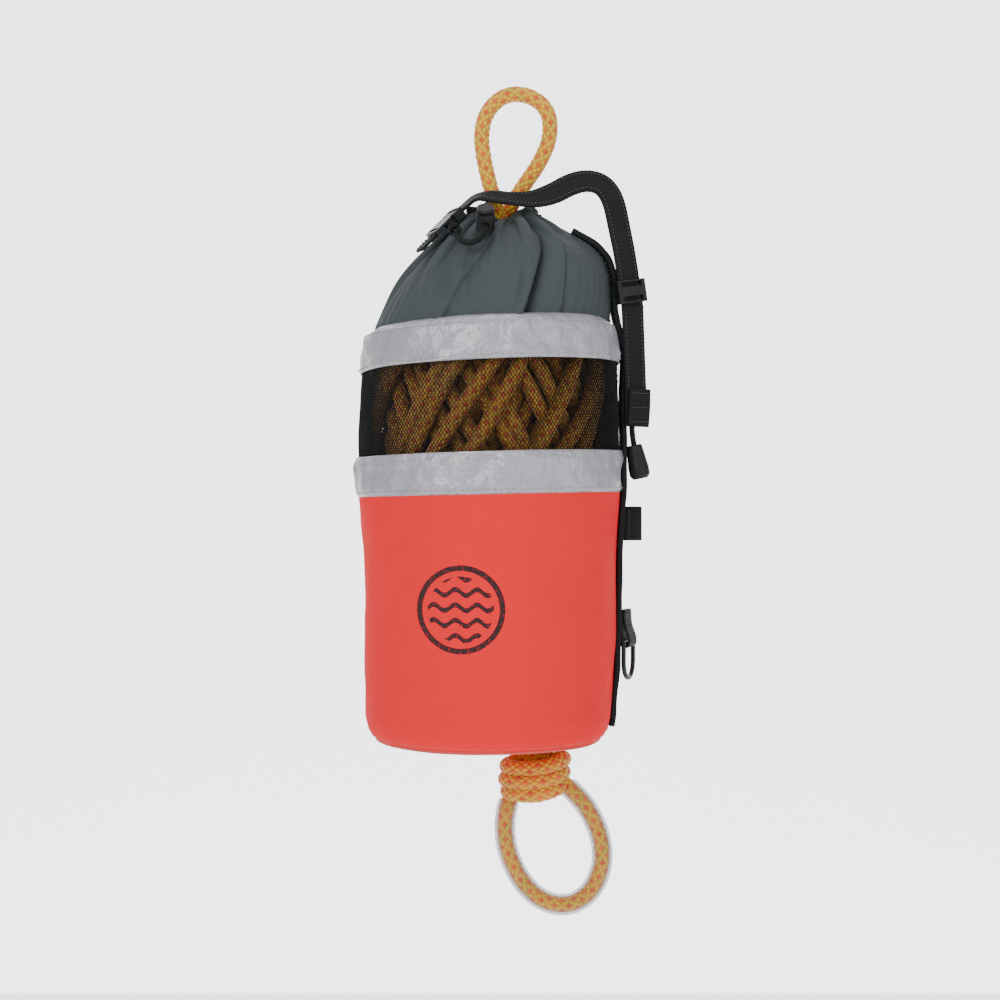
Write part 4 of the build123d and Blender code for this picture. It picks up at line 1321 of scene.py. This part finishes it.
# ------------------------------------------------------------------ webbing
def route_of(stations, step=0.0012, per_point=14):
    """Path and width directions through stations of (point, direction)."""
    points = smooth_path([p for p, _ in stations], per_point)
    ways = smooth_path([unit(w) for _, w in stations], per_point)
    run = run_along(points)
    count = int(run[-1] / step) + 1
    wanted = np.linspace(0, run[-1], count)
    path = np.stack([np.interp(wanted, run, points[:, k]) for k in range(3)], axis=1)
    across = np.stack([np.interp(wanted, run, ways[:, k]) for k in range(3)], axis=1)
    return path, across / np.linalg.norm(across, axis=1)[:, None]


def edge_stitches(name, path, across, width, thickness, material, inset=0.0022, both_sides=True, **sizes):
    """Stitch rows near both edges of a strap, on its faces."""
    tangents = np.gradient(path, axis=0)
    tangents /= np.linalg.norm(tangents, axis=1)[:, None]
    normal = np.cross(tangents, across)
    normal /= np.linalg.norm(normal, axis=1)[:, None]
    rows = []
    for edge in (-1, 1):
        for face in ((-1, 1) if both_sides else (1,)):
            line = path + across * edge * (width / 2 - inset) + normal * face * thickness / 2
            rows.append(stitches(f"{name}_{edge}_{face}", line, normal * face, material, **sizes))
    return join(name, rows)


BUCKLE = np.array([-0.0418, -0.0174, -0.075])
UP_SLOPE = unit((cos(radians(25)), sin(radians(25)), 1.0))
BUCKLE_OUT = unit((-cos(radians(25)), -sin(radians(25)), 1.0))
ACROSS_BUCKLE = np.cross(BUCKLE_OUT, UP_SLOPE)
STRAP_W = 0.015
STRAP_T = 0.0018


def strap_stations():
    """The closing strap: from the latch, over the mouth, round its carrying arch and down to the slider."""
    start = BUCKLE + UP_SLOPE * 0.0088
    second = start + UP_SLOPE * 0.0035
    rest = [
        ((-25, -18.5, -60), (-0.25, 0.93, 0.25)), ((-16, -22, -60.6), (0, 0.8, 0.6)),
        ((-4, -23.2, -62.6), (0, 0.8, 0.6)),
        ((9, -20.5, -62.8), (-0.15, 0.65, 0.75)), ((21, -16, -58.5), (-0.35, 0.4, 0.85)),
        ((32.5, -13, -51.5), (-0.35, 0.35, 0.9)), ((43, -12, -49), (0, 0.35, 0.93)),
        ((52.5, -12, -52), (0.55, 0.35, 0.75)), ((58.5, -12, -61), (0.88, 0.35, 0.35)),
        ((62, -12, -78), (0.92, 0.38, 0.15)), ((66, -11.5, -97), (0.9, 0.42, 0.15)),
        ((70.6, -9.2, -128), (0.9, 0.42, 0.15)),
    ]
    stations = [(start, ACROSS_BUCKLE), (second, ACROSS_BUCKLE)]
    return stations + [(np.array(p) * MM, w) for p, w in rest]


def make_closing_strap():
    path, across = route_of(strap_stations())
    piece = ribbon("closing_strap_webbing", path, across, STRAP_W, STRAP_T)
    piece.data.materials.append(WEBBING)
    rows = edge_stitches("strap_tracer", path[8:], across[8:], STRAP_W, STRAP_T, PALE_THREAD,
                         length=0.0012, gap=0.0011, radius=0.00022)
    piece = join("closing_strap_webbing", [piece, rows])
    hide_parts("closing_strap")
    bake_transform(piece)
    return piece


make_closing_strap()


def bar_tack(path, across, index, face, width, thickness):
    """One dense row of stitches across a webbing."""
    share = np.linspace(-0.4, 0.4, 12)[:, None]
    line = path[index] + across[index] * width * share + face * thickness / 2
    return stitches(f"tack_{index}", line, np.tile(face, (12, 1)), DARK_THREAD, length=0.0016, gap=0.0003)


TAIL_ACROSS = (0.9, 0.43, 0)
STRAP_TAIL = [(70.3, -9.9, -126), (71.2, -9.2, -150), (72, -9, -172), (72.6, -9, -186), (72.2, -9, -200)]
END_FOLD = [(74.6, -10.2, -177), (74.9, -10.2, -188), (73.6, -10.6, -199.5)]


def make_strap_tail():
    """The strap's running end, and the fold sewn on it that stops the slider."""
    path, across = route_of([(point, TAIL_ACROSS) for point in metres(STRAP_TAIL)])
    piece = ribbon("strap_tail_webbing", path, across, STRAP_W, STRAP_T)
    piece.data.materials.append(WEBBING)
    rows = edge_stitches("tail_tracer", path[3:-3], across[3:-3], STRAP_W, STRAP_T, PALE_THREAD,
                         length=0.0012, gap=0.0011, radius=0.00022)
    piece = join("strap_tail_webbing", [piece, rows])
    finish_piece(piece, "strap_end", ("strap_tail",), "black_webbing")

    path, across = route_of([(point, TAIL_ACROSS) for point in metres(END_FOLD)])
    turned = ribbon("strap_end_webbing", path, across, STRAP_W, STRAP_T)
    turned.data.materials.append(WEBBING)
    tangents = np.gradient(path, axis=0)
    normal = np.cross(tangents / np.linalg.norm(tangents, axis=1)[:, None], across)
    tacks = [
        bar_tack(path, across, index, side * normal[index], STRAP_W, STRAP_T)
        for index in (2, len(path) // 2, len(path) - 3)
        for side in (-1, 1)
    ]
    piece = join("strap_end_webbing", [turned, *tacks])
    finish_piece(piece, "strap_end", ("strap_end_fold",), "black_webbing")


make_strap_tail()


def make_side_webbing():
    """Load webbing up the bag's side, over the shoulder, following the wall and the collar."""
    wall_z = np.linspace(-0.384, -0.1375, 120)
    out = np.interp(wall_z, [-0.262, -0.244, -0.180, -0.160], [0.0018, 0.0024, 0.0024, 0.0035])
    low = wall(np.zeros(120), wall_z, out)
    profile, _ = collar_profile(60)
    high = np.stack([profile[:, 1] + profile[:, 2] + 0.0011, np.zeros(60), profile[:, 0]], axis=-1)
    high = high[(high[:, 2] > -0.128) & (high[:, 2] < -0.0795)]
    path = even(np.concatenate([low, high]), 0.0015)
    for _ in range(4):
        path[1:-1] = (path[:-2] + 2 * path[1:-1] + path[2:]) / 4
    across = np.tile((0.0, 1.0, 0.0), (len(path), 1))
    piece = ribbon("side_load_webbing", path, across, 0.020, 0.0034, bow=0.0008)
    piece.data.materials.append(WEBBING)
    rows = edge_stitches("side_webbing_stitches", path, across, 0.020, 0.0034, DARK_THREAD,
                         inset=0.002, both_sides=False, radius=0.0003)
    finish_piece(join("side_load_webbing", [piece, rows]), "bag", ("side_webbing",), "black_webbing")


make_side_webbing()


UPPER_LOOP = (0.0105, 0.00375, 0.021, -0.2595)  # how far out, half its breadth, webbing width, middle height
RING_BAR = np.array([0.0689, 0.0040, -0.3335])
RING_SIDE = np.array([0.35, 0.937, 0.0])
RING_OUT = np.array([0.937, -0.35, 0.0])
LOOP_T = 0.0014


def make_gear_loops():
    """Two short loops sewn to the side webbing: one stands out empty, one holds the ring."""
    reach, half, width, middle = UPPER_LOOP
    face = wall(np.zeros(1), np.array([middle]), 0.0045)[0][0]
    side = [(0, half), (reach - 0.002, half), (reach, 0.0016)]
    rim = [(x, -y) for x, y in side] + side[::-1]
    path = even(smooth_path([(face + x, y, middle) for x, y in rim]), 0.0007)
    across = np.tile((0.0, 0.0, 1.0), (len(path), 1))
    piece = ribbon("upper_gear_loop_webbing", path, across, width, LOOP_T)
    piece.data.materials.append(WEBBING)
    tack = bar_tack(path, across, 4, np.array([0.0, -1.0, 0.0]), width, LOOP_T)
    finish_piece(join("upper_gear_loop_webbing", [piece, tack]), "bag", ("upper_gear_loop",), "black_webbing")

    outer_leg = [(-1.0, 20.5), (-0.9, 12), (1.2, 7.0), (2.5, 3.0)]
    bend = [(2.6 * cos(a), 2.6 * sin(a)) for a in np.linspace(0, -pi, 9)]
    inner_leg = [(-2.6, 3.0), (-2.6, 12), (-2.6, 20.5)]
    profile = outer_leg + bend + inner_leg
    corners = [RING_BAR + RING_OUT * out * MM + np.array([0, 0, up * MM]) for out, up in profile]
    path = even(smooth_path(corners), 0.0007)
    across = np.tile(RING_SIDE, (len(path), 1))
    width = 0.016
    piece = ribbon("lower_gear_loop_webbing", path, across, width, LOOP_T)
    piece.data.materials.append(WEBBING)
    tacks = [bar_tack(path, across, index, RING_OUT, width, LOOP_T) for index in (4, 12)]
    piece = join("lower_gear_loop_webbing", [piece, *tacks])
    finish_piece(piece, "bag", ("lower_gear_loop",), "black_webbing")


make_gear_loops()


def make_anchor():
    """The short webbing that holds the buckle's housing, sewn to the collar."""
    start = BUCKLE - UP_SLOPE * 0.0150
    finish = BUCKLE - UP_SLOPE * 0.0273
    path = even(np.stack([start, (start + finish) / 2 + BUCKLE_OUT * 0.0003, finish]), 0.0008)
    across = np.tile(ACROSS_BUCKLE, (len(path), 1))
    piece = ribbon("buckle_anchor_webbing", path, across, 0.012, 0.0016, 0.0003)
    piece.data.materials.append(WEBBING)
    normal = np.tile(BUCKLE_OUT, (len(path), 1))
    rows = []
    for side in (-1, 1):
        line = path + across * side * 0.0042 + normal * 0.0008
        rows.append(stitches(f"anchor_{side}", line, normal, PALE_THREAD, length=0.0018, gap=0.0006))
    share = np.linspace(-0.0042, 0.0042, 10)[:, None]
    for index in (4, len(path) - 4):
        line = path[index] + across[index] * share + normal[index] * 0.0008
        bar = stitches(f"anchor_bar_{index}", line, normal[:10], PALE_THREAD, length=0.0018, gap=0.0004)
        rows.append(bar)
    finish_piece(join("buckle_anchor_webbing", [piece, *rows]), "bag", ("buckle_anchor",), "black_webbing")


make_anchor()


# ------------------------------------------------------------------ hard parts keep their CAD shape
HARD_PARTS = {
    "buckle_housing": HOUSING, "buckle_latch": PLASTIC, "buckle_prong_front": PLASTIC,
    "buckle_prong_back": PLASTIC, "strap_slider": PLASTIC, "cord_lock_body": PLASTIC,
    "cord_lock_plunger": HOUSING, "cord_end": PLASTIC, "d_ring": RING_METAL, "base_grommet": GROMMET,
    "grommet_washer": GROMMET,
}
for part, its_material in HARD_PARTS.items():
    for material_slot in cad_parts[part].material_slots:
        material_slot.material = its_material
